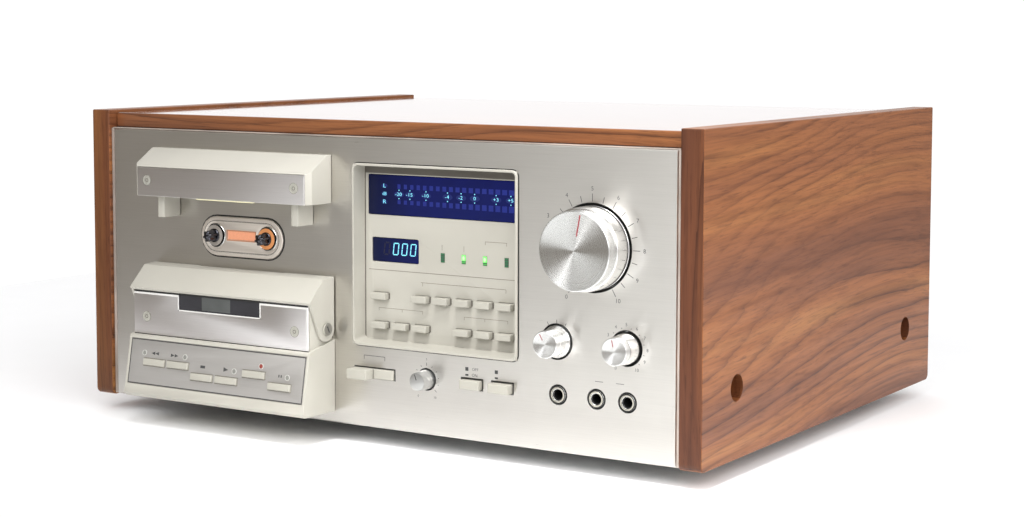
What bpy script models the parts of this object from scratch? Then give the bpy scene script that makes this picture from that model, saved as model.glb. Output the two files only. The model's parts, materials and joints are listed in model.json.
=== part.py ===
"""Cassette deck in a wooden case, with an open transport, a level display and dials.

Metres, +Z up, front towards -Y. The origin is the middle of the underside. Distances called "out" run forward
from the front face of the faceplate, so what lies behind it is negative.
"""

import math

import bmesh
import bpy
from mathutils import Vector

# Fits shared by all pieces
GAP = 0.0003
RUN = 0.0003
THROUGH = 0.002
OVERLAP = 0.0006
FINE_STEPS = 48
STEPS = 32
COARSE_STEPS = 20
CORNER_STEPS = 4
SMOOTH_ANGLE = math.radians(35)

# Case
CASE_WIDTH = 0.455
CASE_HEIGHT = 0.2016
CASE_DEPTH = 0.353
PANEL_THICKNESS = 0.0145
PANEL_BOTTOM = 0.0103
PANEL_LEAD = 0.0022
PANEL_CORNER = 0.004
PANEL_BEVEL = 0.0007
BORE_RADIUS = 0.008
BORE_DEPTH = 0.009
BORE_HEIGHT = 0.052
BORE_FRONT_SETBACK = 0.044
BORE_REAR_SETBACK = 0.0465
TOP_DROP = 0.0019
TOP_THICKNESS = 0.0095
TOP_SETBACK = 0.0074
TOP_REAR_INSET = 0.0095
COVER_THICKNESS = 0.0012
COVER_BOTTOM = 0.0116
COVER_FLANGE = 0.009
FOOT_RADIUS = 0.02
FOOT_TOP_RADIUS = 0.0175
FOOT_EDGE = 0.0015
FOOT_INSET_SIDE = 0.0475
FOOT_INSET_FRONT = 0.082
FOOT_INSET_REAR = 0.04

# Faceplate
FACE_SIDE_GAP = 0.0023
FACE_BOTTOM = 0.0114
FACE_TOP_GAP = 0.0007
FACE_THICKNESS = 0.004
FACE_CHAMFER = 0.0008

INNER_HALF_WIDTH = CASE_WIDTH / 2 - PANEL_THICKNESS
CASE_REAR = PANEL_LEAD - CASE_DEPTH
TOP_UPPER = CASE_HEIGHT - TOP_DROP
TOP_LOWER = TOP_UPPER - TOP_THICKNESS
COVER_TOP = COVER_BOTTOM + COVER_THICKNESS
FACE_HALF_WIDTH = INNER_HALF_WIDTH - FACE_SIDE_GAP
FACE_TOP = TOP_LOWER - FACE_TOP_GAP
FACE_BACK = -FACE_THICKNESS

# Transport, centred on its own line
TRANSPORT_SHARE = 0.2215385
TRANSPORT_X = -CASE_WIDTH * TRANSPORT_SHARE
HUB_Z = 0.1232
HUB_OFFSET = 0.02125
HUB_CORE_RADIUS = 0.0027
HUB_FIN_RADIUS = 0.0037
HUB_FINS = 6
FIN_POINTS = 4
FIN_WIDE_POINTS = 2
HUB_TIP_OUT = 0.011
HUB_TIP_CHAMFER = 0.0012
HUB_DISC_RADIUS = 0.0067
HUB_DISC_OUT = 0.0026
HUB_DISC_BACK = 0.0008
HUB_SHAFT_RADIUS = 0.003
HUB_CLEARANCE = 0.0009
HUB_HOLE_RADIUS = HUB_DISC_RADIUS + HUB_CLEARANCE
REEL_TABLE_RADIUS = 0.011
REEL_TABLE_FRONT = -0.009
REEL_TABLE_BACK = -0.014
CHASSIS_SHEET = 0.0015
CHASSIS_HALF_WIDTH = 0.07
CHASSIS_BOTTOM = 0.026
CHASSIS_TOP_MARGIN = 0.0245
CHASSIS_FRONT = FACE_BACK - GAP
CHASSIS_TOP = FACE_TOP - CHASSIS_TOP_MARGIN
CHASSIS_DEPTH = 0.054
STRAP_BOTTOM = 0.083
STRAP_TOP = 0.104
ESCUTCHEON_Z = 0.1228
ESCUTCHEON_HALF_WIDTH = 0.03355
ESCUTCHEON_HALF_HEIGHT = 0.01275
ESCUTCHEON_CORNER = 0.0127
ESCUTCHEON_OUT = 0.0013
ESCUTCHEON_CHAMFER = 0.0004
ESCUTCHEON_RING_CLEARANCE = 0.002
ESCUTCHEON_RING_RADIUS = HUB_DISC_RADIUS + ESCUTCHEON_RING_CLEARANCE
REEL_WINDOW_HALF_WIDTH = 0.0116
REEL_WINDOW_BOTTOM = 0.1208
REEL_WINDOW_TOP = 0.1267
REEL_WINDOW_FLOOR = 0.0007

# Hood over the cassette's upper edge
HOOD_HALF_WIDTH = 0.0715
HOOD_TOP_MARGIN = 0.0113
HOOD_CREST = FACE_TOP - HOOD_TOP_MARGIN
HOOD_HEIGHT = 0.0299
HOOD_BOTTOM = HOOD_CREST - HOOD_HEIGHT
HOOD_OUT = 0.023
HOOD_SLOPE_FALL = 0.0112
HOOD_FRONT_TOP = HOOD_CREST - HOOD_SLOPE_FALL
HOOD_CREST_OUT = 0.005
HOOD_CORNER = 0.0032
HOOD_WALL = 0.0022
HOOD_PLATE = 0.0009
HOOD_PLATE_CHAMFER = 0.0002
GUIDE_INNER = 0.0519
GUIDE_OUTER = 0.0573
GUIDE_OUT = 0.0156
GUIDE_HUB_RISE = 0.011
GUIDE_BOTTOM = HUB_Z + GUIDE_HUB_RISE

# Lower housing, its plates and the head cover
HOUSING_HALF_WIDTH = 0.0734
HOUSING_WALL = 0.002
HOUSING_BOTTOM = 0.0187
HOUSING_CHIN_OUT = 0.0302
SLOPE_FOOT_OUT = 0.0325
SLOPE_FOOT_Z = 0.0209
SLOPE_HEAD_OUT = 0.0257
SLOPE_HEAD_Z = 0.0581
SHOULDER_OUT = 0.025
SHOULDER_Z = 0.0583
SHOULDER_REAR_Z = 0.0638
BLOCK_TOP = 0.087
BLOCK_PLATE_OUT = 0.024
BLOCK_PLATE = 0.0009
BLOCK_PLATE_BOTTOM = 0.0589
NOTCH_HALF_WIDTH = 0.0332
NOTCH_BOTTOM = 0.0764
HEAD_WINDOW_THICKNESS = 0.0007
HEAD_VIEW_MARGIN = 0.0022
HEAD_SLOT_BACK = 0.0012
HEAD_SLOT_FRONT = 0.0172
PIVOT_OUT = 0.0086
PIVOT_Z = 0.0709
PIVOT_PIN_RADIUS = 0.0025
PIVOT_HEAD_RADIUS = 0.004
PIVOT_HEAD_THICKNESS = 0.0009
ARM_THICKNESS = 0.0018
BLOCK_HALF_WIDTH = HOUSING_HALF_WIDTH - ARM_THICKNESS - RUN
ARM_ROUND = 0.0077
LID_REAR_Z = 0.1028
LID_REAR_OUT = 0.0009
LID_SLOPE_OUT = 0.0117
LID_SLOPE_Z = 0.102
LID_TIP_OUT = 0.0256
LID_TIP_Z = 0.0888
LIP_OUT = 0.0243
LIP_Z = 0.0873
LID_INNER_OUT = 0.0109
LID_INNER_Z = 0.1
LID_INNER_REAR_Z = 0.1008
LID_DIP_START = -0.0346
LID_DIP_END = 0.0358
LID_DIP = 0.001
LID_DIP_OUT = 0.0026

# Keypad on the sloping front
KEYPAD_TOP = 0.0557
KEYPAD_BOTTOM = 0.0273
KEYPAD_PLATE = 0.001
KEY_WIDTH_SHARE = 0.246844
KEY_WIDTH = BLOCK_HALF_WIDTH * KEY_WIDTH_SHARE
KEY_HEIGHT = 0.0042
KEY_PROUD = 0.0014
KEY_LENGTH = 0.009
KEY_EDGE = 0.0004
KEY_UPPER_Z = 0.0416
KEY_LOWER_Z = 0.0359
KEY_SHARES = {
    "key_rewind": -0.70407,
    "key_forward": -0.42496,
    "key_stop": -0.13604,
    "key_play": 0.14446,
    "key_record": 0.44741,
    "key_pause": 0.74194,
}
LOWER_KEYS = ("key_stop", "key_play", "key_pause")

# Heads, capstans and motor
BRIDGE_HALF_WIDTH = 0.036
HEAD_SLOT_CLEARANCE = 0.002
HEAD_SLOT_HALF_WIDTH = BRIDGE_HALF_WIDTH + HEAD_SLOT_CLEARANCE
HEAD_OPENING_CLEARANCE = 0.0025
HEAD_OPENING_HALF_WIDTH = BRIDGE_HALF_WIDTH + HEAD_OPENING_CLEARANCE
BRIDGE_BACK = -0.0036
BRIDGE_SHEET = 0.0014
BRIDGE_BOTTOM = 0.065
BRIDGE_SHELF_Z = 0.0712
BRIDGE_SHELF_OUT = 0.0156
BRIDGE_TOP = 0.0785
HEAD_BACK = 0.0028
HEAD_FRONT = 0.0148
HEAD_TOP = 0.0845
HEAD_NOSE = 0.003
HEAD_PLACES = ((-0.0125, 0.0045), (0, 0.0062), (0.0135, 0.0052))
PINCH_RADIUS = 0.005
PINCH_Z = 0.0819
PINCH_BACK = 0.004
PINCH_FRONT = 0.0135
PINCH_POST = 0.0012
CAPSTAN_OFFSET = 0.0265
CAPSTAN_Z = 0.0934
CAPSTAN_RADIUS = 0.0015
CAPSTAN_TIP_OUT = 0.0125
FLYWHEEL_RADIUS = 0.025
FLYWHEEL_RIM = 0.02
FLYWHEEL_DISH = 0.003
FLYWHEEL_HUB = 0.006
FLYWHEEL_FRONT = -0.03
FLYWHEEL_BACK = -0.042
CAPSTAN_REAR = -0.0565
HEAD_OPENING_BOTTOM = 0.0642
HEAD_OPENING_TOP = 0.0975
MOTOR_Z = 0.046
MOTOR_RADIUS = 0.0165
MOTOR_FRONT = -0.0073
MOTOR_BACK = -0.03
MOTOR_BOSS_RADIUS = 0.005
MOTOR_BOSS = 0.002
MOTOR_SHAFT_RADIUS = 0.001
PULLEY_RADIUS = 0.0065
PULLEY_GROOVE = 0.0012
PULLEY_FRONT = -0.0335
PULLEY_BACK = -0.0415

# Knobs at the right
KNOB_BACK = -0.003
INPUT_MARGIN = 0.0547
INPUT_X = FACE_HALF_WIDTH - INPUT_MARGIN
INPUT_Z = 0.1318
INPUT_RADIUS = 0.0229
INPUT_RING_RADIUS = 0.0242
INPUT_CLEARANCE = 0.0017
INPUT_HOLE = INPUT_RING_RADIUS + INPUT_CLEARANCE
INPUT_SPLIT = 0.0135
INPUT_OUT = 0.0209
INPUT_EDGE = 0.0006
INPUT_SHAFT = 0.003
INPUT_SHAFT_BACK = -0.026
INPUT_POINTER_TURN = math.radians(11)
INPUT_POINTER = (0.0087, 0.021)
POINTER_WIDTH = 0.0012
POINTER_DEPTH = 0.0003
INPUT_SLEEVE = 0.0055
INPUT_SLEEVE_WALL = 0.003
INPUT_SLEEVE_BACK = -0.018
SELECTOR_OFFSET = 0.0233
SELECTOR_X = INPUT_X - SELECTOR_OFFSET
SMALL_KNOB_Z = 0.076
SELECTOR_BASE_RADIUS = 0.0094
SELECTOR_CLEARANCE = 0.0013
SELECTOR_HOLE = SELECTOR_BASE_RADIUS + SELECTOR_CLEARANCE
SELECTOR_SKIRT_OUT = 0.0009
SELECTOR_NECK_OUT = 0.0034
SELECTOR_NECK_RADIUS = 0.0083
SELECTOR_RADIUS = 0.008
SELECTOR_OUT = 0.0137
SELECTOR_POINTER_TURN = math.radians(-30)
SMALL_EDGE = 0.0004
SMALL_POINTER_START = 0.002
SMALL_SHAFT = 0.003
SMALL_SHAFT_BACK = -0.022
OUTPUT_OFFSET = 0.0225
OUTPUT_X = INPUT_X + OUTPUT_OFFSET
OUTPUT_BASE_RADIUS = 0.0092
OUTPUT_CLEARANCE = 0.0013
OUTPUT_HOLE = OUTPUT_BASE_RADIUS + OUTPUT_CLEARANCE
OUTPUT_RADIUS = 0.008
OUTPUT_RING_RADIUS = 0.0083
OUTPUT_SPLIT = 0.0095
OUTPUT_OUT = 0.0146
OUTPUT_POINTER_TURN = math.radians(-12)
OUTPUT_SLEEVE = 0.0036
OUTPUT_SLEEVE_WALL = 0.002
OUTPUT_SLEEVE_BACK = -0.014

# Display
BEZEL_TRANSPORT_GAP = 0.0143
BEZEL_LEFT = TRANSPORT_X + HOUSING_HALF_WIDTH + BEZEL_TRANSPORT_GAP
BEZEL_KNOB_GAP = 0.0236
BEZEL_RIGHT = INPUT_X - INPUT_HOLE - BEZEL_KNOB_GAP
BEZEL_WIDTH = BEZEL_RIGHT - BEZEL_LEFT
BEZEL_BOTTOM = 0.06175
BEZEL_TOP_MARGIN = 0.0155
BEZEL_TOP = FACE_TOP - BEZEL_TOP_MARGIN
BEZEL_CORNER = 0.004
BEZEL_OUT = 0.0016
BEZEL_CHAMFER = 0.0005
BEZEL_LIP = 0.0015
BEZEL_WALL = 0.0009
BEZEL_FLOOR_OUT = -0.0101
BEZEL_FLOOR = 0.002
BEZEL_SILL_RISE = 0.0016
METER_MARGIN = 0.0041
METER_DROP = 0.0072
METER_HEIGHT = 0.025
METER_LEFT = BEZEL_LEFT + METER_MARGIN
METER_RIGHT = BEZEL_RIGHT - METER_MARGIN
METER_TOP = BEZEL_TOP - METER_DROP
METER_BOTTOM = METER_TOP - METER_HEIGHT
COUNTER_INSET = 0.003
COUNTER_WIDTH = 0.0349
COUNTER_LEFT = METER_LEFT + COUNTER_INSET
COUNTER_RIGHT = COUNTER_LEFT + COUNTER_WIDTH
COUNTER_BOTTOM = 0.1129
COUNTER_TOP = 0.128
WINDOW_RECESS = 0.0004
WINDOW_CORNER = 0.0012
FILTER_SHEET = 0.0016
FILTER_MARGIN = 0.0014
BUTTON_LEFT_MARGIN = 0.0142
BUTTON_RIGHT_MARGIN = 0.01438
BUTTON_COLUMNS = 7
BUTTON_FIRST_X = BEZEL_LEFT + BUTTON_LEFT_MARGIN
BUTTON_PITCH = (BEZEL_WIDTH - BUTTON_LEFT_MARGIN - BUTTON_RIGHT_MARGIN) / (BUTTON_COLUMNS - 1)
BUTTON_ROWS = (("upper", 0.0919, (0, 2, 3, 4, 5, 6)), ("lower", 0.0739, (0, 1, 2, 4, 5, 6)))
BUTTON_WIDTH_SHARE = 0.711931
BUTTON_WIDTH = BUTTON_PITCH * BUTTON_WIDTH_SHARE
BUTTON_HEIGHT = 0.004
BUTTON_PROUD = 0.0045
BUTTON_TAIL = 0.008
BUTTON_EDGE = 0.0003

# Controls below the display
MONITOR_HOLE_SHARES = (0.00502, 0.25836)
MONITOR_BOTTOM = 0.0415
MONITOR_TOP = 0.0483
MONITOR_CLEARANCE = 0.00037
MONITOR_LEFT = BEZEL_LEFT + BEZEL_WIDTH * MONITOR_HOLE_SHARES[0]
MONITOR_RIGHT = BEZEL_LEFT + BEZEL_WIDTH * MONITOR_HOLE_SHARES[1]
MONITOR_OUT = 0.009
MONITOR_IN = 0.0015
SWITCH_HOLE_SHARES = ((0.66388, 0.79097), (0.84323, 0.9699))
SWITCH_BOTTOM = 0.0417
SWITCH_TOP = 0.0485
SWITCH_CLEARANCE = 0.0006
SWITCH_IN = 0.0033
SWITCH_OUT = 0.0055
PRESS_BACK = -0.017
PRESS_EDGE = 0.0004
TRIMMER_SHARE = 0.45652
TRIMMER_X = BEZEL_LEFT + BEZEL_WIDTH * TRIMMER_SHARE
TRIMMER_Z = 0.0451
TRIMMER_RADIUS = 0.006
TRIMMER_CLEARANCE = 0.0009
TRIMMER_HOLE = TRIMMER_RADIUS + TRIMMER_CLEARANCE
TRIMMER_OUT = 0.0105
TRIMMER_SHAFT = 0.003
TRIMMER_SHAFT_BACK = -0.009
TRIMMER_EDGE = 0.0004

# Jacks
JACK_OFFSETS = (-0.0222, 0.0033, 0.0235)
JACK_XS = tuple(INPUT_X + offset for offset in JACK_OFFSETS)
JACK_Z = 0.0451
JACK_NOSE = 0.005
JACK_CLEARANCE = 0.0011
JACK_HOLE = JACK_NOSE + JACK_CLEARANCE
JACK_NOSE_OUT = 0.0004
JACK_NOSE_EDGE = 0.0004
JACK_BORE = 0.00335
JACK_BORE_BACK = -0.03
JACK_BODY_HALF = 0.0072
JACK_BODY_FRONT = -0.0075
JACK_BODY_BACK = -0.033
BRACKET_FRONT = -0.009
BRACKET_SHEET = 0.0015
BRACKET_MARGIN = 0.0025
BRACKET_KNOB_MARGIN = 0.006
BRACKET_POST = 0.006

# Rear
REAR_INSET = 0.0082
REAR_SHEET = 0.0012
REAR_FACE = CASE_REAR + REAR_INSET
REAR_INNER = REAR_FACE + REAR_SHEET
SOCKET_SIDE_MARGIN = 0.083
SOCKET_X = INNER_HALF_WIDTH - SOCKET_SIDE_MARGIN
SOCKET_Z = 0.085
SOCKET_PITCH_X = 0.02
SOCKET_PITCH_Z = 0.018
SOCKET_MARGIN = 0.009
SOCKET_PLATE = 0.002
SOCKET_BODY = 0.008
SOCKET_RADIUS = 0.0042
SOCKET_BORE = 0.0017
SOCKET_LENGTH = 0.006
SOCKET_WINDOW_MARGIN = 0.0065
GLAND_SIDE_MARGIN = 0.063
GLAND_X = GLAND_SIDE_MARGIN - INNER_HALF_WIDTH
GLAND_Z = 0.06
GLAND_RADIUS = 0.006
GLAND_FLANGE = 0.0085
GLAND_FLANGE_THICKNESS = 0.002
GLAND_NOSE = 0.006
GLAND_NOSE_RADIUS = 0.0048
GLAND_BORE = 0.0033
GLAND_INSIDE = 0.008

# Circuit board with its transformer
BOARD_CHASSIS_MARGIN = 0.0188
BOARD_SIDE_MARGIN = 0.018
BOARD_FRONT_MARGIN = 0.071
BOARD_REAR_MARGIN = 0.0264
BOARD_LEFT = TRANSPORT_X + CHASSIS_HALF_WIDTH + BOARD_CHASSIS_MARGIN
BOARD_RIGHT = INNER_HALF_WIDTH - BOARD_SIDE_MARGIN
BOARD_FRONT = FACE_BACK - BOARD_FRONT_MARGIN
BOARD_BACK = REAR_INNER + BOARD_REAR_MARGIN
BOARD_Z = 0.024
BOARD_THICKNESS = 0.0016
BOARD_POST_RADIUS = 0.0035
BOARD_POST_INSET = 0.009
CORE_SIZE = (0.058, 0.048, 0.05)
COIL_SIZE = (0.034, 0.062, 0.03)
CORE_SHARES = (0.80676, 0.25)
CAPACITOR_SIZES = ((0.0125, 0.036), (0.0125, 0.036), (0.008, 0.022))
CAPACITOR_SHARES = ((0.39614, 0.14583), (0.54106, 0.14583), (0.49275, 0.35417))
SINK_SIZE = (0.05, 0.0025, 0.035)
SINK_SHARES = (0.2029, 0.10417)
CARD_SIZE = (0.05, 0.0016, 0.045)
CARD_SHARES = ((0.2029, 0.77083), (0.54106, 0.77083))

FACE_Y = SLOPE_FOOT_OUT - (CASE_DEPTH + SLOPE_FOOT_OUT - PANEL_LEAD) / 2

MATERIALS = {
    "walnut": ((0.23, 0.085, 0.04), 0.45, 0.0),
    "face_aluminium": ((0.62, 0.59, 0.55), 0.32, 1.0),
    "plate_aluminium": ((0.6, 0.58, 0.58), 0.35, 1.0),
    "knob_aluminium": ((0.72, 0.71, 0.69), 0.22, 1.0),
    "cream_plastic": ((0.66, 0.62, 0.52), 0.5, 0.0),
    "button_cream": ((0.72, 0.68, 0.58), 0.45, 0.0),
    "dark_metal": ((0.03, 0.03, 0.03), 0.35, 0.6),
    "smoked_window": ((0.012, 0.02, 0.07), 0.12, 0.0),
    "black_chrome": ((0.05, 0.05, 0.055), 0.18, 1.0),
    "sheet_steel": ((0.52, 0.52, 0.5), 0.4, 1.0),
    "bright_steel": ((0.7, 0.7, 0.7), 0.2, 1.0),
    "brass": ((0.7, 0.52, 0.25), 0.3, 1.0),
    "black_rubber": ((0.02, 0.02, 0.02), 0.8, 0.0),
    "black_plastic": ((0.025, 0.025, 0.025), 0.5, 0.0),
    "board_green": ((0.05, 0.16, 0.08), 0.5, 0.0),
}


def out(distance):
    """The Y of a point this far in front of the faceplate."""
    return FACE_Y - distance


def material(slot):
    made = bpy.data.materials.get(slot)
    if made is None:
        colour, roughness, metallic = MATERIALS[slot]
        made = bpy.data.materials.new(slot)
        made.use_nodes = True
        shader = made.node_tree.nodes["Principled BSDF"]
        shader.inputs["Base Color"].default_value = (*colour, 1.0)
        shader.inputs["Roughness"].default_value = roughness
        shader.inputs["Metallic"].default_value = metallic
        made.diffuse_color = (*colour, 1.0)
    return made


def loft(name, rings, looped=False):
    """A closed body through rings of points, capped at both ends, or joined end to end if looped."""
    shape = bmesh.new()
    rows = [[shape.verts.new(point) for point in ring] for ring in rings]
    following = rows[1:] + rows[:1] if looped else rows[1:]
    for near, far in zip(rows, following):
        for index in range(len(near)):
            after = (index + 1) % len(near)
            shape.faces.new((near[index], near[after], far[after], far[index]))
    if not looped:
        shape.faces.new(rows[0])
        shape.faces.new(rows[-1])
    bmesh.ops.recalc_face_normals(shape, faces=shape.faces)
    mesh = bpy.data.meshes.new(name)
    shape.to_mesh(mesh)
    shape.free()
    made = bpy.data.objects.new(name, mesh)
    bpy.context.scene.collection.objects.link(made)
    return made


def along_x(name, outline, start, end):
    """A prism along X of an outline of (out, z) points."""
    return loft(name, [[(x, out(far), z) for far, z in outline] for x in (start, end)])


def along_y(name, outline, back, front):
    """A prism along Y of an outline of (x, z) points."""
    return loft(name, [[(x, out(far), z) for x, z in outline] for far in (back, front)])


def box(name, left, right, back, front, bottom, top):
    return along_y(name, [(left, bottom), (right, bottom), (right, top), (left, top)], back, front)


def rounded(left, right, bottom, top, radius):
    """A rectangle's outline with rounded corners."""
    corners = (
        (right - radius, bottom + radius, -math.pi / 2),
        (right - radius, top - radius, 0),
        (left + radius, top - radius, math.pi / 2),
        (left + radius, bottom + radius, math.pi),
    )
    outline = []
    for across, up, start in corners:
        for step in range(CORNER_STEPS + 1):
            angle = start + math.pi / 2 * step / CORNER_STEPS
            outline.append((across + radius * math.cos(angle), up + radius * math.sin(angle)))
    return outline


def slab(name, left, right, bottom, top, back, front, edge, radius=0.0):
    """A plate or a button facing forward, whose front edges are chamfered."""
    if radius:
        wide = rounded(left, right, bottom, top, radius)
        narrow = rounded(left + edge, right - edge, bottom + edge, top - edge, radius - edge)
    else:
        wide = [(left, bottom), (right, bottom), (right, top), (left, top)]
        narrow = [
            (left + edge, bottom + edge),
            (right - edge, bottom + edge),
            (right - edge, top - edge),
            (left + edge, top - edge),
        ]
    rings = ((wide, back), (wide, front - edge), (narrow, front))
    return loft(name, [[(x, out(far), z) for x, z in outline] for outline, far in rings])


def circle(radius, steps):
    turns = [2 * math.pi * step / steps for step in range(steps)]
    return [(radius * math.cos(turn), radius * math.sin(turn)) for turn in turns]


def turned(name, profile, x, z, steps=STEPS, looped=False):
    """A body turned about a line along Y, from (radius, out) points."""
    rings = [
        [(x + across, out(far), z + up) for across, up in circle(radius, steps)] for radius, far in profile
    ]
    return smooth(loft(name, rings, looped))


def upright(name, profile, x, far, steps=STEPS):
    """A body turned about a vertical line, from (radius, z) points."""
    rings = [
        [(x + across, out(far) + back, z) for across, back in circle(radius, steps)] for radius, z in profile
    ]
    return smooth(loft(name, rings))


def crosswise(name, radius, start, end, far, z, steps=STEPS):
    """A cylinder along X."""
    rings = [[(x, out(far + ahead), z + up) for ahead, up in circle(radius, steps)] for x in (start, end)]
    return smooth(loft(name, rings))


def smooth(piece):
    piece.data.shade_smooth()
    piece.data.set_sharp_from_angle(angle=SMOOTH_ANGLE)
    return piece


def combine(piece, tool, operation):
    change = piece.modifiers.new(tool.name, "BOOLEAN")
    change.operation = operation
    change.solver = "EXACT"
    change.object = tool
    tool.hide_render = True
    tool.display_type = "WIRE"


def cut(piece, *tools):
    for tool in tools:
        combine(piece, tool, "DIFFERENCE")
    return piece


def join(piece, *tools):
    for tool in tools:
        combine(piece, tool, "UNION")
    return piece


def soften(piece, width):
    edge = piece.modifiers.new("edges", "BEVEL")
    edge.width = width
    edge.segments = 2
    edge.limit_method = "ANGLE"
    return piece


def finish(piece, slot):
    piece.data.materials.clear()
    piece.data.materials.append(material(slot))
    return piece


def pivot(piece, x, far, z):
    """Puts the origin of a moving piece on its axis."""
    origin = Vector((x, out(far), z))
    for vertex in piece.data.vertices:
        vertex.co -= origin
    piece.location = origin
    return piece


def slope_tilt():
    return math.atan2(SLOPE_FOOT_OUT - SLOPE_HEAD_OUT, SLOPE_HEAD_Z - SLOPE_FOOT_Z)


def on_slope(height, proud):
    """The (out, z) of a point at this height on the keypad's slope, raised off it along its normal."""
    tilt = slope_tilt()
    far = SLOPE_HEAD_OUT + (SLOPE_HEAD_Z - height) * math.tan(tilt)
    return far + proud * math.cos(tilt), height + proud * math.sin(tilt)


def slope_box(name, left, right, low, high, inner, outer, edge=0.0):
    """A box that stands square to the keypad's slope, with chamfered front edges if edge is set."""
    rings = []
    levels = [(0.0, inner), (0.0, outer - edge)]
    if edge:
        levels.append((edge, outer))
    else:
        levels[-1] = (0.0, outer)
    for inset, proud in levels:
        ring = []
        for x, height in (
            (left + inset, low + inset),
            (right - inset, low + inset),
            (right - inset, high - inset),
            (left + inset, high - inset),
        ):
            far, z = on_slope(height, proud)
            ring.append((x, out(far), z))
        rings.append(ring)
    return loft(name, rings)


def panel_outline():
    """A side panel from the side, its two lower corners rounded."""
    outline = [(PANEL_LEAD, CASE_HEIGHT), (CASE_REAR, CASE_HEIGHT)]
    up = PANEL_BOTTOM + PANEL_CORNER
    for far, start in ((CASE_REAR + PANEL_CORNER, math.pi), (PANEL_LEAD - PANEL_CORNER, -math.pi / 2)):
        for step in range(CORNER_STEPS + 1):
            turn = start + math.pi / 2 * step / CORNER_STEPS
            outline.append((far + PANEL_CORNER * math.cos(turn), up + PANEL_CORNER * math.sin(turn)))
    return outline


def make_side_panel(name, side):
    outer = side * CASE_WIDTH / 2
    panel = along_x(name, panel_outline(), side * INNER_HALF_WIDTH, outer)
    soften(panel, PANEL_BEVEL)
    for place, far in (("front", PANEL_LEAD - BORE_FRONT_SETBACK), ("rear", CASE_REAR + BORE_REAR_SETBACK)):
        bore = crosswise(
            f"{name}_bore_{place}",
            BORE_RADIUS,
            outer - side * BORE_DEPTH,
            outer + side * THROUGH,
            far,
            BORE_HEIGHT,
        )
        cut(panel, bore)
    return finish(panel, "walnut")


def make_case():
    make_side_panel("side_panel_left", -1)
    make_side_panel("side_panel_right", 1)
    inner = INNER_HALF_WIDTH - GAP
    top = box(
        "top_panel",
        -inner,
        inner,
        CASE_REAR + TOP_REAR_INSET,
        PANEL_LEAD - TOP_SETBACK,
        TOP_LOWER,
        TOP_UPPER,
    )
    finish(soften(top, PANEL_BEVEL), "walnut")
    front = FACE_BACK - GAP
    cover = box("bottom_cover", -inner, inner, REAR_INNER + GAP, front, COVER_BOTTOM, COVER_TOP)
    flange = box(
        "cover_flange",
        -inner,
        inner,
        front - COVER_THICKNESS,
        front,
        COVER_BOTTOM,
        COVER_TOP + COVER_FLANGE,
    )
    finish(join(cover, flange), "sheet_steel")
    rear = box("rear_panel", -inner, inner, REAR_FACE, REAR_INNER, COVER_BOTTOM, TOP_UPPER - GAP)
    window = box(
        "socket_window",
        SOCKET_X - SOCKET_PITCH_X / 2 - SOCKET_WINDOW_MARGIN,
        SOCKET_X + SOCKET_PITCH_X / 2 + SOCKET_WINDOW_MARGIN,
        REAR_FACE - THROUGH,
        REAR_INNER + THROUGH,
        SOCKET_Z - SOCKET_PITCH_Z / 2 - SOCKET_WINDOW_MARGIN,
        SOCKET_Z + SOCKET_PITCH_Z / 2 + SOCKET_WINDOW_MARGIN,
    )
    hole = turned(
        "gland_hole",
        [(GLAND_RADIUS + GAP, REAR_FACE - THROUGH), (GLAND_RADIUS + GAP, REAR_INNER + THROUGH)],
        GLAND_X,
        GLAND_Z,
    )
    finish(cut(rear, window, hole), "sheet_steel")
    spots = {"front": PANEL_LEAD - FOOT_INSET_FRONT, "rear": CASE_REAR + FOOT_INSET_REAR}
    for place, far in spots.items():
        for hand, side in (("left", -1), ("right", 1)):
            profile = [
                (FOOT_RADIUS - FOOT_EDGE, 0.0),
                (FOOT_RADIUS, FOOT_EDGE),
                (FOOT_TOP_RADIUS, COVER_BOTTOM - GAP),
            ]
            x = side * (CASE_WIDTH / 2 - FOOT_INSET_SIDE)
            finish(upright(f"foot_{place}_{hand}", profile, x, far), "black_rubber")


def disc_cutter(name, x, z, radius, steps=STEPS):
    reach = [(radius, FACE_BACK - THROUGH), (radius, THROUGH)]
    return turned(name, reach, x, z, steps)


def box_cutter(name, left, right, bottom, top):
    return box(name, left, right, FACE_BACK - THROUGH, THROUGH, bottom, top)


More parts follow.
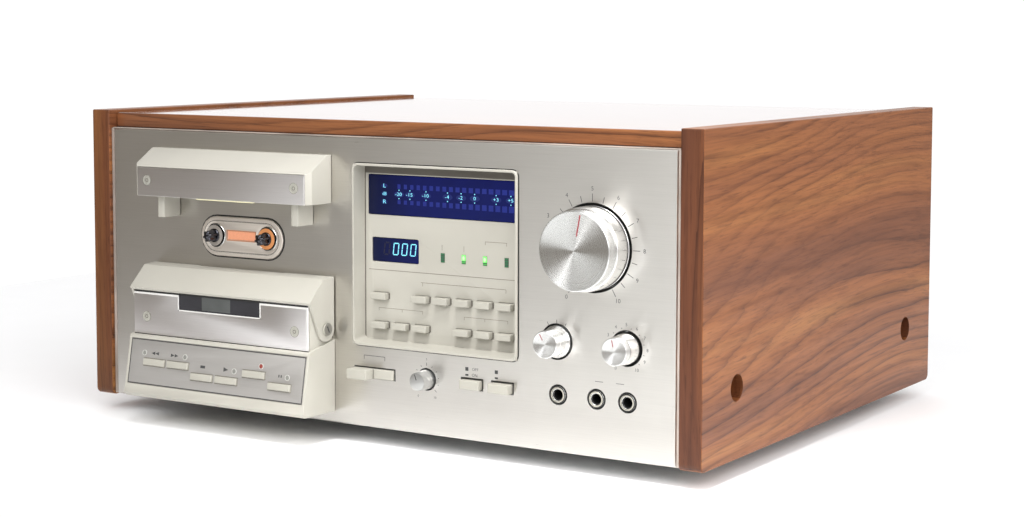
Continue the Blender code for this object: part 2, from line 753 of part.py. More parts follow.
def make_faceplate():
    face = slab(
        "faceplate",
        -FACE_HALF_WIDTH,
        FACE_HALF_WIDTH,
        FACE_BOTTOM,
        FACE_TOP,
        FACE_BACK,
        0.0,
        FACE_CHAMFER,
    )
    lip = BEZEL_LIP - BEZEL_WALL - GAP
    cut(
        face,
        box_cutter("display_hole", BEZEL_LEFT + lip, BEZEL_RIGHT - lip, BEZEL_BOTTOM + lip, BEZEL_TOP - lip),
        box_cutter(
            "head_hole",
            TRANSPORT_X - HEAD_OPENING_HALF_WIDTH,
            TRANSPORT_X + HEAD_OPENING_HALF_WIDTH,
            HEAD_OPENING_BOTTOM,
            HEAD_OPENING_TOP,
        ),
        box_cutter("monitor_hole", MONITOR_LEFT, MONITOR_RIGHT, MONITOR_BOTTOM, MONITOR_TOP),
        disc_cutter("hub_hole_left", TRANSPORT_X - HUB_OFFSET, HUB_Z, HUB_HOLE_RADIUS),
        disc_cutter("hub_hole_right", TRANSPORT_X + HUB_OFFSET, HUB_Z, HUB_HOLE_RADIUS),
        disc_cutter("trimmer_hole", TRIMMER_X, TRIMMER_Z, TRIMMER_HOLE),
        disc_cutter("input_hole", INPUT_X, INPUT_Z, INPUT_HOLE, FINE_STEPS),
        disc_cutter("selector_hole", SELECTOR_X, SMALL_KNOB_Z, SELECTOR_HOLE),
        disc_cutter("output_hole", OUTPUT_X, SMALL_KNOB_Z, OUTPUT_HOLE),
    )
    for number, (left, right) in enumerate(switch_holes()):
        cut(face, box_cutter(f"switch_hole_{number}", left, right, SWITCH_BOTTOM, SWITCH_TOP))
    for number, x in enumerate(JACK_XS):
        cut(face, disc_cutter(f"jack_hole_{number}", x, JACK_Z, JACK_HOLE))
    finish(face, "face_aluminium")


def make_chassis():
    left = TRANSPORT_X - CHASSIS_HALF_WIDTH
    right = TRANSPORT_X + CHASSIS_HALF_WIDTH
    back = CHASSIS_FRONT - CHASSIS_SHEET
    rear = CHASSIS_FRONT - CHASSIS_DEPTH
    plate = box("transport_chassis", left, right, back, CHASSIS_FRONT, CHASSIS_BOTTOM, CHASSIS_TOP)
    for hand, start in (("left", left), ("right", right - CHASSIS_SHEET)):
        wall = box(
            f"chassis_wall_{hand}",
            start,
            start + CHASSIS_SHEET,
            rear,
            back + OVERLAP,
            CHASSIS_BOTTOM,
            CHASSIS_TOP,
        )
        join(plate, wall)
    strap = box(
        "chassis_strap",
        left + OVERLAP,
        right - OVERLAP,
        rear,
        rear + CHASSIS_SHEET,
        STRAP_BOTTOM,
        STRAP_TOP,
    )
    join(plate, strap)
    for hand, side in (("left", -1), ("right", 1)):
        bore = HUB_SHAFT_RADIUS + RUN
        reach = [(bore, back - THROUGH), (bore, CHASSIS_FRONT + THROUGH)]
        hub = turned(f"chassis_hub_{hand}", reach, TRANSPORT_X + side * HUB_OFFSET, HUB_Z, COARSE_STEPS)
        bore = CAPSTAN_RADIUS + RUN
        reach = [(bore, back - THROUGH), (bore, CHASSIS_FRONT + THROUGH)]
        shaft = turned(
            f"chassis_capstan_{hand}",
            reach,
            TRANSPORT_X + side * CAPSTAN_OFFSET,
            CAPSTAN_Z,
            COARSE_STEPS,
        )
        cut(plate, hub, shaft)
    boss = MOTOR_BOSS_RADIUS + GAP
    reach = [(boss, back - THROUGH), (boss, CHASSIS_FRONT + THROUGH)]
    cut(plate, turned("chassis_motor", reach, TRANSPORT_X, MOTOR_Z, COARSE_STEPS))
    finish(plate, "sheet_steel")


def make_escutcheon():
    plate = slab(
        "spindle_escutcheon",
        TRANSPORT_X - ESCUTCHEON_HALF_WIDTH,
        TRANSPORT_X + ESCUTCHEON_HALF_WIDTH,
        ESCUTCHEON_Z - ESCUTCHEON_HALF_HEIGHT,
        ESCUTCHEON_Z + ESCUTCHEON_HALF_HEIGHT,
        GAP,
        ESCUTCHEON_OUT,
        ESCUTCHEON_CHAMFER,
        ESCUTCHEON_CORNER,
    )
    for hand, side in (("left", -1), ("right", 1)):
        reach = [(ESCUTCHEON_RING_RADIUS, -THROUGH), (ESCUTCHEON_RING_RADIUS, THROUGH)]
        cut(plate, turned(f"ring_{hand}", reach, TRANSPORT_X + side * HUB_OFFSET, HUB_Z))
    window = box(
        "reel_window",
        TRANSPORT_X - REEL_WINDOW_HALF_WIDTH,
        TRANSPORT_X + REEL_WINDOW_HALF_WIDTH,
        REEL_WINDOW_FLOOR,
        THROUGH,
        REEL_WINDOW_BOTTOM,
        REEL_WINDOW_TOP,
    )
    finish(cut(plate, window), "face_aluminium")


def make_hood():
    pitch = (HOOD_CREST - HOOD_FRONT_TOP) / (HOOD_OUT - HOOD_CREST_OUT)
    rings = []
    for offset, front in (
        (-HOOD_HALF_WIDTH, HOOD_OUT - HOOD_CORNER),
        (HOOD_CORNER - HOOD_HALF_WIDTH, HOOD_OUT),
        (HOOD_HALF_WIDTH - HOOD_CORNER, HOOD_OUT),
        (HOOD_HALF_WIDTH, HOOD_OUT - HOOD_CORNER),
    ):
        outline = [
            (GAP, HOOD_BOTTOM),
            (front, HOOD_BOTTOM),
            (front, HOOD_FRONT_TOP + pitch * (HOOD_OUT - front)),
            (HOOD_CREST_OUT, HOOD_CREST),
            (GAP, HOOD_CREST),
        ]
        rings.append([(TRANSPORT_X + offset, out(far), z) for far, z in outline])
    hood = loft("hood", rings)
    inner_front = HOOD_OUT - HOOD_PLATE - GAP - HOOD_WALL
    inner_top = HOOD_CREST - HOOD_WALL
    inner_half = HOOD_HALF_WIDTH - HOOD_WALL
    front_top = HOOD_FRONT_TOP + pitch * (HOOD_OUT - inner_front) - HOOD_WALL
    hollow = along_x(
        "hood_hollow",
        [
            (-THROUGH, HOOD_BOTTOM - THROUGH),
            (inner_front, HOOD_BOTTOM - THROUGH),
            (inner_front, front_top),
            (HOOD_CREST_OUT, inner_top),
            (-THROUGH, inner_top),
        ],
        TRANSPORT_X - inner_half,
        TRANSPORT_X + inner_half,
    )
    plate_half = HOOD_HALF_WIDTH - HOOD_CORNER
    pocket = box(
        "hood_pocket",
        TRANSPORT_X - plate_half,
        TRANSPORT_X + plate_half,
        HOOD_OUT - HOOD_PLATE - GAP,
        HOOD_OUT + THROUGH,
        HOOD_BOTTOM - THROUGH,
        HOOD_FRONT_TOP,
    )
    cut(hood, hollow, pocket)
    for hand, side in (("left", -1), ("right", 1)):
        near_top = HOOD_FRONT_TOP + pitch * (HOOD_OUT - GUIDE_OUT) - OVERLAP
        guide = along_x(
            f"guide_{hand}",
            [
                (GAP, GUIDE_BOTTOM),
                (GUIDE_OUT, GUIDE_BOTTOM),
                (GUIDE_OUT, near_top),
                (HOOD_CREST_OUT, HOOD_CREST - OVERLAP),
                (GAP, HOOD_CREST - OVERLAP),
            ],
            TRANSPORT_X + side * GUIDE_INNER,
            TRANSPORT_X + side * GUIDE_OUTER,
        )
        join(hood, guide)
    finish(hood, "cream_plastic")
    plate = slab(
        "hood_plate",
        TRANSPORT_X - plate_half + GAP,
        TRANSPORT_X + plate_half - GAP,
        HOOD_BOTTOM,
        HOOD_FRONT_TOP - GAP,
        HOOD_OUT - HOOD_PLATE,
        HOOD_OUT,
        HOOD_PLATE_CHAMFER,
    )
    finish(plate, "plate_aluminium")


def make_housing():
    left = TRANSPORT_X - HOUSING_HALF_WIDTH
    right = TRANSPORT_X + HOUSING_HALF_WIDTH
    housing = along_x(
        "transport_housing",
        [
            (GAP, HOUSING_BOTTOM),
            (HOUSING_CHIN_OUT, HOUSING_BOTTOM),
            (SLOPE_FOOT_OUT, SLOPE_FOOT_Z),
            (SLOPE_HEAD_OUT, SLOPE_HEAD_Z),
            (SHOULDER_OUT, SHOULDER_Z),
            (GAP, SHOULDER_REAR_Z),
        ],
        left,
        right,
    )
    block_front = BLOCK_PLATE_OUT - BLOCK_PLATE - GAP
    block = box(
        "head_block",
        TRANSPORT_X - BLOCK_HALF_WIDTH,
        TRANSPORT_X + BLOCK_HALF_WIDTH,
        GAP,
        block_front,
        SHOULDER_Z - HOUSING_WALL,
        BLOCK_TOP,
    )
    join(housing, block)
    rise = HOUSING_WALL * math.cos(slope_tilt())
    inside_foot = on_slope(HOUSING_BOTTOM + HOUSING_WALL, -HOUSING_WALL - KEYPAD_PLATE)
    inside_head = on_slope(SHOULDER_Z - rise, -HOUSING_WALL - KEYPAD_PLATE)
    lower_hollow = along_x(
        "housing_hollow",
        [
            (-THROUGH, HOUSING_BOTTOM + HOUSING_WALL),
            (inside_foot[0], HOUSING_BOTTOM + HOUSING_WALL),
            (inside_head[0], SHOULDER_Z - HOUSING_WALL),
            (-THROUGH, SHOULDER_Z - HOUSING_WALL),
        ],
        left + HOUSING_WALL,
        right - HOUSING_WALL,
    )
    upper_hollow = box(
        "block_hollow",
        TRANSPORT_X - BLOCK_HALF_WIDTH + HOUSING_WALL,
        TRANSPORT_X + BLOCK_HALF_WIDTH - HOUSING_WALL,
        -THROUGH,
        block_front - HOUSING_WALL,
        SHOULDER_Z - HOUSING_WALL - THROUGH,
        BLOCK_TOP - HOUSING_WALL,
    )
    slot = box(
        "head_slot",
        TRANSPORT_X - HEAD_SLOT_HALF_WIDTH,
        TRANSPORT_X + HEAD_SLOT_HALF_WIDTH,
        HEAD_SLOT_BACK,
        HEAD_SLOT_FRONT,
        BLOCK_TOP - HOUSING_WALL - THROUGH,
        BLOCK_TOP + THROUGH,
    )
    view_half = NOTCH_HALF_WIDTH - HEAD_VIEW_MARGIN
    view = box(
        "head_view",
        TRANSPORT_X - view_half,
        TRANSPORT_X + view_half,
        block_front - HOUSING_WALL - THROUGH,
        block_front + THROUGH,
        NOTCH_BOTTOM + HEAD_VIEW_MARGIN,
        BLOCK_TOP - HOUSING_WALL,
    )
    recess = slope_box(
        "keypad_recess",
        TRANSPORT_X - BLOCK_HALF_WIDTH - GAP,
        TRANSPORT_X + BLOCK_HALF_WIDTH + GAP,
        KEYPAD_BOTTOM - GAP,
        KEYPAD_TOP + GAP,
        -KEYPAD_PLATE - GAP,
        THROUGH,
    )
    cut(housing, lower_hollow, upper_hollow, slot, view, recess)
    for name, x, z in key_places():
        cut(housing, key_slot(f"{name}_way", x, z, KEY_LENGTH))
    for hand, side in (("left", -1), ("right", 1)):
        outside = TRANSPORT_X + side * (HOUSING_HALF_WIDTH + GAP)
        pin = crosswise(
            f"pivot_pin_{hand}",
            PIVOT_PIN_RADIUS,
            TRANSPORT_X + side * (BLOCK_HALF_WIDTH - OVERLAP),
            outside + side * OVERLAP,
            PIVOT_OUT,
            PIVOT_Z,
            COARSE_STEPS,
        )
        head = crosswise(
            f"pivot_head_{hand}",
            PIVOT_HEAD_RADIUS,
            outside,
            outside + side * PIVOT_HEAD_THICKNESS,
            PIVOT_OUT,
            PIVOT_Z,
            COARSE_STEPS,
        )
        join(housing, pin, head)
    finish(housing, "cream_plastic")


def key_places():
    """Each key's name and the X and Z of its middle."""
    for name, share in KEY_SHARES.items():
        z = KEY_LOWER_Z if name in LOWER_KEYS else KEY_UPPER_Z
        yield name, TRANSPORT_X + BLOCK_HALF_WIDTH * share, z


def key_slot(name, x, z, reach):
    half = KEY_WIDTH / 2 + RUN
    high = KEY_HEIGHT / 2 + RUN
    return slope_box(name, x - half, x + half, z - high, z + high, -reach, THROUGH)


def make_plates():
    outline = [
        (TRANSPORT_X - BLOCK_HALF_WIDTH, BLOCK_PLATE_BOTTOM),
        (TRANSPORT_X + BLOCK_HALF_WIDTH, BLOCK_PLATE_BOTTOM),
        (TRANSPORT_X + BLOCK_HALF_WIDTH, BLOCK_TOP),
        (TRANSPORT_X + NOTCH_HALF_WIDTH, BLOCK_TOP),
        (TRANSPORT_X + NOTCH_HALF_WIDTH, NOTCH_BOTTOM),
        (TRANSPORT_X - NOTCH_HALF_WIDTH, NOTCH_BOTTOM),
        (TRANSPORT_X - NOTCH_HALF_WIDTH, BLOCK_TOP),
        (TRANSPORT_X - BLOCK_HALF_WIDTH, BLOCK_TOP),
    ]
    back = BLOCK_PLATE_OUT - BLOCK_PLATE
    finish(along_y("head_cover_plate", outline, back, BLOCK_PLATE_OUT), "plate_aluminium")
    window = box(
        "head_window",
        TRANSPORT_X - NOTCH_HALF_WIDTH + GAP,
        TRANSPORT_X + NOTCH_HALF_WIDTH - GAP,
        back,
        back + HEAD_WINDOW_THICKNESS,
        NOTCH_BOTTOM + GAP,
        BLOCK_TOP,
    )
    finish(window, "smoked_window")
    pad = slope_box(
        "keypad_plate",
        TRANSPORT_X - BLOCK_HALF_WIDTH,
        TRANSPORT_X + BLOCK_HALF_WIDTH,
        KEYPAD_BOTTOM,
        KEYPAD_TOP,
        -KEYPAD_PLATE,
        0.0,
    )
    for name, x, z in key_places():
        cut(pad, key_slot(f"{name}_slot", x, z, KEY_LENGTH))
    finish(pad, "plate_aluminium")


def make_keys():
    for name, x, z in key_places():
        key = slope_box(
            name,
            x - KEY_WIDTH / 2,
            x + KEY_WIDTH / 2,
            z - KEY_HEIGHT / 2,
            z + KEY_HEIGHT / 2,
            KEY_PROUD - KEY_LENGTH,
            KEY_PROUD,
            KEY_EDGE,
        )
        far, height = on_slope(z, KEY_PROUD)
        finish(pivot(key, x, far, height), "button_cream")


def make_head_cover():
    lid = along_x(
        "head_cover",
        [
            (LID_REAR_OUT, LID_REAR_Z),
            (LID_SLOPE_OUT, LID_SLOPE_Z),
            (LID_TIP_OUT, LID_TIP_Z),
            (LIP_OUT, LIP_Z),
            (LID_INNER_OUT, LID_INNER_Z),
            (LID_REAR_OUT, LID_INNER_REAR_Z),
        ],
        TRANSPORT_X - HOUSING_HALF_WIDTH,
        TRANSPORT_X + HOUSING_HALF_WIDTH,
    )
    span = math.hypot(LIP_OUT - PIVOT_OUT, LIP_Z - PIVOT_Z)
    ahead = math.atan2(LIP_Z - PIVOT_Z, LIP_OUT - PIVOT_OUT) - math.acos(ARM_ROUND / span)
    sweep = math.pi + ahead
    arc = []
    for step in range(COARSE_STEPS + 1):
        angle = math.pi + sweep * step / COARSE_STEPS
        arc.append((PIVOT_OUT + ARM_ROUND * math.cos(angle), PIVOT_Z + ARM_ROUND * math.sin(angle)))
    outline = [(LID_SLOPE_OUT, LID_SLOPE_Z), (LID_REAR_OUT, LID_REAR_Z)]
    outline += arc + [(LIP_OUT, LIP_Z), (LID_TIP_OUT, LID_TIP_Z)]
    for hand, side in (("left", -1), ("right", 1)):
        arm = along_x(
            f"cover_arm_{hand}",
            outline,
            TRANSPORT_X + side * (HOUSING_HALF_WIDTH - ARM_THICKNESS),
            TRANSPORT_X + side * HOUSING_HALF_WIDTH,
        )
        join(lid, arm)
    bore = crosswise(
        "cover_bore",
        PIVOT_PIN_RADIUS + RUN,
        TRANSPORT_X - HOUSING_HALF_WIDTH - THROUGH,
        TRANSPORT_X + HOUSING_HALF_WIDTH + THROUGH,
        PIVOT_OUT,
        PIVOT_Z,
        COARSE_STEPS,
    )
    dip = box(
        "cover_dip",
        TRANSPORT_X + LID_DIP_START,
        TRANSPORT_X + LID_DIP_END,
        -THROUGH,
        LID_DIP_OUT,
        LID_REAR_Z - LID_DIP,
        LID_REAR_Z + THROUGH,
    )
    cut(lid, bore, dip)
    finish(pivot(lid, TRANSPORT_X, PIVOT_OUT, PIVOT_Z), "cream_plastic")


def make_spindle(name, x):
    points = HUB_FINS * FIN_POINTS

    def ring(far, radius, fins=0.0):
        shape = []
        for index in range(points):
            angle = 2 * math.pi * (index + 1 / 2) / points
            reach = fins if fins and index % FIN_POINTS < FIN_WIDE_POINTS else radius
            shape.append((x + reach * math.cos(angle), out(far), HUB_Z + reach * math.sin(angle)))
        return shape

    post = HUB_TIP_OUT - HUB_TIP_CHAMFER
    rings = [
        ring(REEL_TABLE_BACK, REEL_TABLE_RADIUS),
        ring(REEL_TABLE_FRONT, REEL_TABLE_RADIUS),
        ring(REEL_TABLE_FRONT, HUB_SHAFT_RADIUS),
        ring(HUB_DISC_BACK, HUB_SHAFT_RADIUS),
        ring(HUB_DISC_BACK, HUB_DISC_RADIUS),
        ring(HUB_DISC_OUT, HUB_DISC_RADIUS),
        ring(HUB_DISC_OUT, HUB_CORE_RADIUS, HUB_FIN_RADIUS),
        ring(post, HUB_CORE_RADIUS, HUB_FIN_RADIUS),
        ring(HUB_TIP_OUT, HUB_CORE_RADIUS - HUB_TIP_CHAMFER),
    ]
    finish(pivot(loft(name, rings), x, 0.0, HUB_Z), "black_chrome")


def make_head_bridge():
    left = TRANSPORT_X - BRIDGE_HALF_WIDTH
    right = TRANSPORT_X + BRIDGE_HALF_WIDTH
    bridge = box(
        "head_bridge",
        left,
        right,
        BRIDGE_BACK,
        BRIDGE_BACK + BRIDGE_SHEET,
        BRIDGE_BOTTOM,
        BRIDGE_TOP,
    )
    shelf = box(
        "bridge_shelf",
        left,
        right,
        BRIDGE_BACK,
        BRIDGE_SHELF_OUT,
        BRIDGE_SHELF_Z,
        BRIDGE_SHELF_Z + BRIDGE_SHEET,
    )
    join(bridge, shelf)
    for number, (offset, half) in enumerate(HEAD_PLACES):
        centre = TRANSPORT_X + offset
        nose = half - HEAD_NOSE / 2
        outline = [
            (centre - half, BRIDGE_SHELF_Z + OVERLAP),
            (centre + half, BRIDGE_SHELF_Z + OVERLAP),
            (centre + half, HEAD_TOP - HEAD_NOSE),
            (centre + nose, HEAD_TOP),
            (centre - nose, HEAD_TOP),
            (centre - half, HEAD_TOP - HEAD_NOSE),
        ]
        join(bridge, along_y(f"head_{number}", outline, HEAD_BACK, HEAD_FRONT))
    for hand, side in (("left", -1), ("right", 1)):
        x = TRANSPORT_X + side * CAPSTAN_OFFSET
        roller = turned(
            f"pinch_roller_{hand}",
            [(PINCH_RADIUS, PINCH_BACK), (PINCH_RADIUS, PINCH_FRONT)],
            x,
            PINCH_Z,
            COARSE_STEPS,
        )
        post = box(
            f"pinch_post_{hand}",
            x - PINCH_POST,
            x + PINCH_POST,
            PINCH_BACK + OVERLAP,
            PINCH_FRONT - OVERLAP,
            BRIDGE_SHELF_Z + OVERLAP,
            PINCH_Z,
        )
        join(bridge, post, roller)
    finish(pivot(bridge, TRANSPORT_X, 0.0, BRIDGE_BOTTOM), "bright_steel")


def make_drive():
    for hand, side in (("left", -1), ("right", 1)):
        x = TRANSPORT_X + side * CAPSTAN_OFFSET
        profile = [
            (CAPSTAN_RADIUS, CAPSTAN_REAR),
            (CAPSTAN_RADIUS, FLYWHEEL_BACK),
            (FLYWHEEL_RADIUS, FLYWHEEL_BACK),
            (FLYWHEEL_RADIUS, FLYWHEEL_FRONT),
            (FLYWHEEL_RIM, FLYWHEEL_FRONT),
            (FLYWHEEL_RIM, FLYWHEEL_FRONT - FLYWHEEL_DISH),
            (FLYWHEEL_HUB, FLYWHEEL_FRONT - FLYWHEEL_DISH),
            (FLYWHEEL_HUB, FLYWHEEL_FRONT),
            (CAPSTAN_RADIUS, FLYWHEEL_FRONT),
            (CAPSTAN_RADIUS, CAPSTAN_TIP_OUT),
        ]
        wheel = turned(f"capstan_{hand}", profile, x, CAPSTAN_Z)
        finish(pivot(wheel, x, 0.0, CAPSTAN_Z), "bright_steel")
    bore = MOTOR_SHAFT_RADIUS + RUN
    middle = (PULLEY_FRONT + PULLEY_BACK) / 2
    profile = [
        (bore, PULLEY_BACK),
        (PULLEY_RADIUS, PULLEY_BACK),
        (PULLEY_RADIUS, middle - PULLEY_GROOVE),
        (PULLEY_RADIUS - PULLEY_GROOVE, middle),
        (PULLEY_RADIUS, middle + PULLEY_GROOVE),
        (PULLEY_RADIUS, PULLEY_FRONT),
        (bore, PULLEY_FRONT),
    ]
    pulley = turned("motor_pulley", profile, TRANSPORT_X, MOTOR_Z, COARSE_STEPS, looped=True)
    finish(pivot(pulley, TRANSPORT_X, 0.0, MOTOR_Z), "brass")
    profile = [
        (MOTOR_SHAFT_RADIUS, PULLEY_BACK),
        (MOTOR_SHAFT_RADIUS, MOTOR_BACK),
        (MOTOR_RADIUS, MOTOR_BACK),
        (MOTOR_RADIUS, MOTOR_FRONT),
        (MOTOR_BOSS_RADIUS, MOTOR_FRONT),
        (MOTOR_BOSS_RADIUS, MOTOR_FRONT + MOTOR_BOSS),
    ]
    finish(turned("drive_motor", profile, TRANSPORT_X, MOTOR_Z), "sheet_steel")


def make_bezel():
    bezel = slab(
        "display_bezel",
        BEZEL_LEFT,
        BEZEL_RIGHT,
        BEZEL_BOTTOM,
        BEZEL_TOP,
        GAP,
        BEZEL_OUT,
        BEZEL_CHAMFER,
        BEZEL_CORNER,
    )
    lip = BEZEL_LIP - BEZEL_WALL
    tray = box(
        "bezel_tray",
        BEZEL_LEFT + lip,
        BEZEL_RIGHT - lip,
        BEZEL_FLOOR_OUT - BEZEL_FLOOR,
        BEZEL_OUT - BEZEL_CHAMFER,
        BEZEL_BOTTOM + lip,
        BEZEL_TOP - lip,
    )
    left = BEZEL_LEFT + BEZEL_LIP
    right = BEZEL_RIGHT - BEZEL_LIP
    bottom = BEZEL_BOTTOM + BEZEL_LIP
    top = BEZEL_TOP - BEZEL_LIP
    radius = BEZEL_CORNER - BEZEL_LIP
    front = rounded(left, right, bottom, top, radius)
    back = rounded(left, right, bottom + BEZEL_SILL_RISE, top, radius)
    rings = ((back, BEZEL_FLOOR_OUT), (front, BEZEL_OUT + THROUGH))
    hollow = loft("bezel_hollow", [[(x, out(far), z) for x, z in ring] for ring, far in rings])
    join(bezel, tray)
    cut(bezel, hollow)
    deep = BEZEL_FLOOR_OUT - BEZEL_FLOOR - THROUGH
    for name, start, end, low, high in windows():
        outline = rounded(start, end, low, high, WINDOW_CORNER)
        cut(bezel, along_y(f"{name}_opening", outline, deep, BEZEL_FLOOR_OUT + THROUGH))
    for row, z, columns in BUTTON_ROWS:
        for column in columns:
            x = BUTTON_FIRST_X + BUTTON_PITCH * column
            hole = box(
                f"{row}_{column}_hole",
                x - BUTTON_WIDTH / 2 - RUN,
                x + BUTTON_WIDTH / 2 + RUN,
                deep,
                BEZEL_FLOOR_OUT + THROUGH,
                z - BUTTON_HEIGHT / 2 - RUN,
                z + BUTTON_HEIGHT / 2 + RUN,
            )
            cut(bezel, hole)
    finish(bezel, "cream_plastic")


def windows():
    """Each display window's name, ends, bottom and top."""
    yield "meter", METER_LEFT, METER_RIGHT, METER_BOTTOM, METER_TOP
    yield "counter", COUNTER_LEFT, COUNTER_RIGHT, COUNTER_BOTTOM, COUNTER_TOP


def make_filter():
    front = BEZEL_FLOOR_OUT - BEZEL_FLOOR - GAP
    sheet = box(
        "display_filter",
        METER_LEFT - FILTER_MARGIN,
        METER_RIGHT + FILTER_MARGIN,
        front - FILTER_SHEET,
        front,
        COUNTER_BOTTOM - FILTER_MARGIN,
        METER_TOP + FILTER_MARGIN,
    )
    for name, left, right, bottom, top in windows():
        outline = rounded(left + GAP, right - GAP, bottom + GAP, top - GAP, WINDOW_CORNER)
        raised = along_y(f"{name}_pane", outline, front - OVERLAP, BEZEL_FLOOR_OUT - WINDOW_RECESS)
        join(sheet, raised)
    finish(sheet, "smoked_window")


def press(name, x, z, width, height, back, front, edge):
    key = slab(name, x - width / 2, x + width / 2, z - height / 2, z + height / 2, back, front, edge)
    return finish(pivot(key, x, front, z), "button_cream")


def switch_holes():
    """The left and right end of each push switch's hole."""
    return [
        (BEZEL_LEFT + BEZEL_WIDTH * start, BEZEL_LEFT + BEZEL_WIDTH * end)
        for start, end in SWITCH_HOLE_SHARES
    ]


def make_presses():
    for row, z, columns in BUTTON_ROWS:
        for column in columns:
            press(
                f"button_{row}_{column + 1}",
                BUTTON_FIRST_X + BUTTON_PITCH * column,
                z,
                BUTTON_WIDTH,
                BUTTON_HEIGHT,
                BEZEL_FLOOR_OUT - BUTTON_TAIL,
                BEZEL_FLOOR_OUT + BUTTON_PROUD,
                BUTTON_EDGE,
            )
    width = (MONITOR_RIGHT - MONITOR_LEFT) / 2 - 3 * MONITOR_CLEARANCE / 2
    height = MONITOR_TOP - MONITOR_BOTTOM - 2 * MONITOR_CLEARANCE
    middle = (MONITOR_LEFT + MONITOR_RIGHT) / 2
    shift = (width + MONITOR_CLEARANCE) / 2
    z = (MONITOR_BOTTOM + MONITOR_TOP) / 2
    press("monitor_key_left", middle - shift, z, width, height, PRESS_BACK, MONITOR_OUT, PRESS_EDGE)
    press("monitor_key_right", middle + shift, z, width, height, PRESS_BACK, MONITOR_IN, PRESS_EDGE)
    height = SWITCH_TOP - SWITCH_BOTTOM - 2 * SWITCH_CLEARANCE
    z = (SWITCH_BOTTOM + SWITCH_TOP) / 2
    fronts = (("switch_left", SWITCH_IN), ("switch_right", SWITCH_OUT))
    for (name, front), (start, end) in zip(fronts, switch_holes()):
        width = end - start - 2 * SWITCH_CLEARANCE
        press(name, (start + end) / 2, z, width, height, PRESS_BACK, front, PRESS_EDGE)


def groove(knob, x, z, turn, start, end, front):
    """Cuts a pointer's groove into a knob's face, turned clockwise from the top."""
    across = (math.cos(turn), -math.sin(turn))
    along = (math.sin(turn), math.cos(turn))
    outline = []
    for side, reach in ((-1, start), (1, start), (1, end), (-1, end)):
        aside = side * POINTER_WIDTH / 2
        outline.append((x + aside * across[0] + reach * along[0], z + aside * across[1] + reach * along[1]))
    return cut(knob, along_y(f"{knob.name}_pointer", outline, front - POINTER_DEPTH, front + THROUGH))


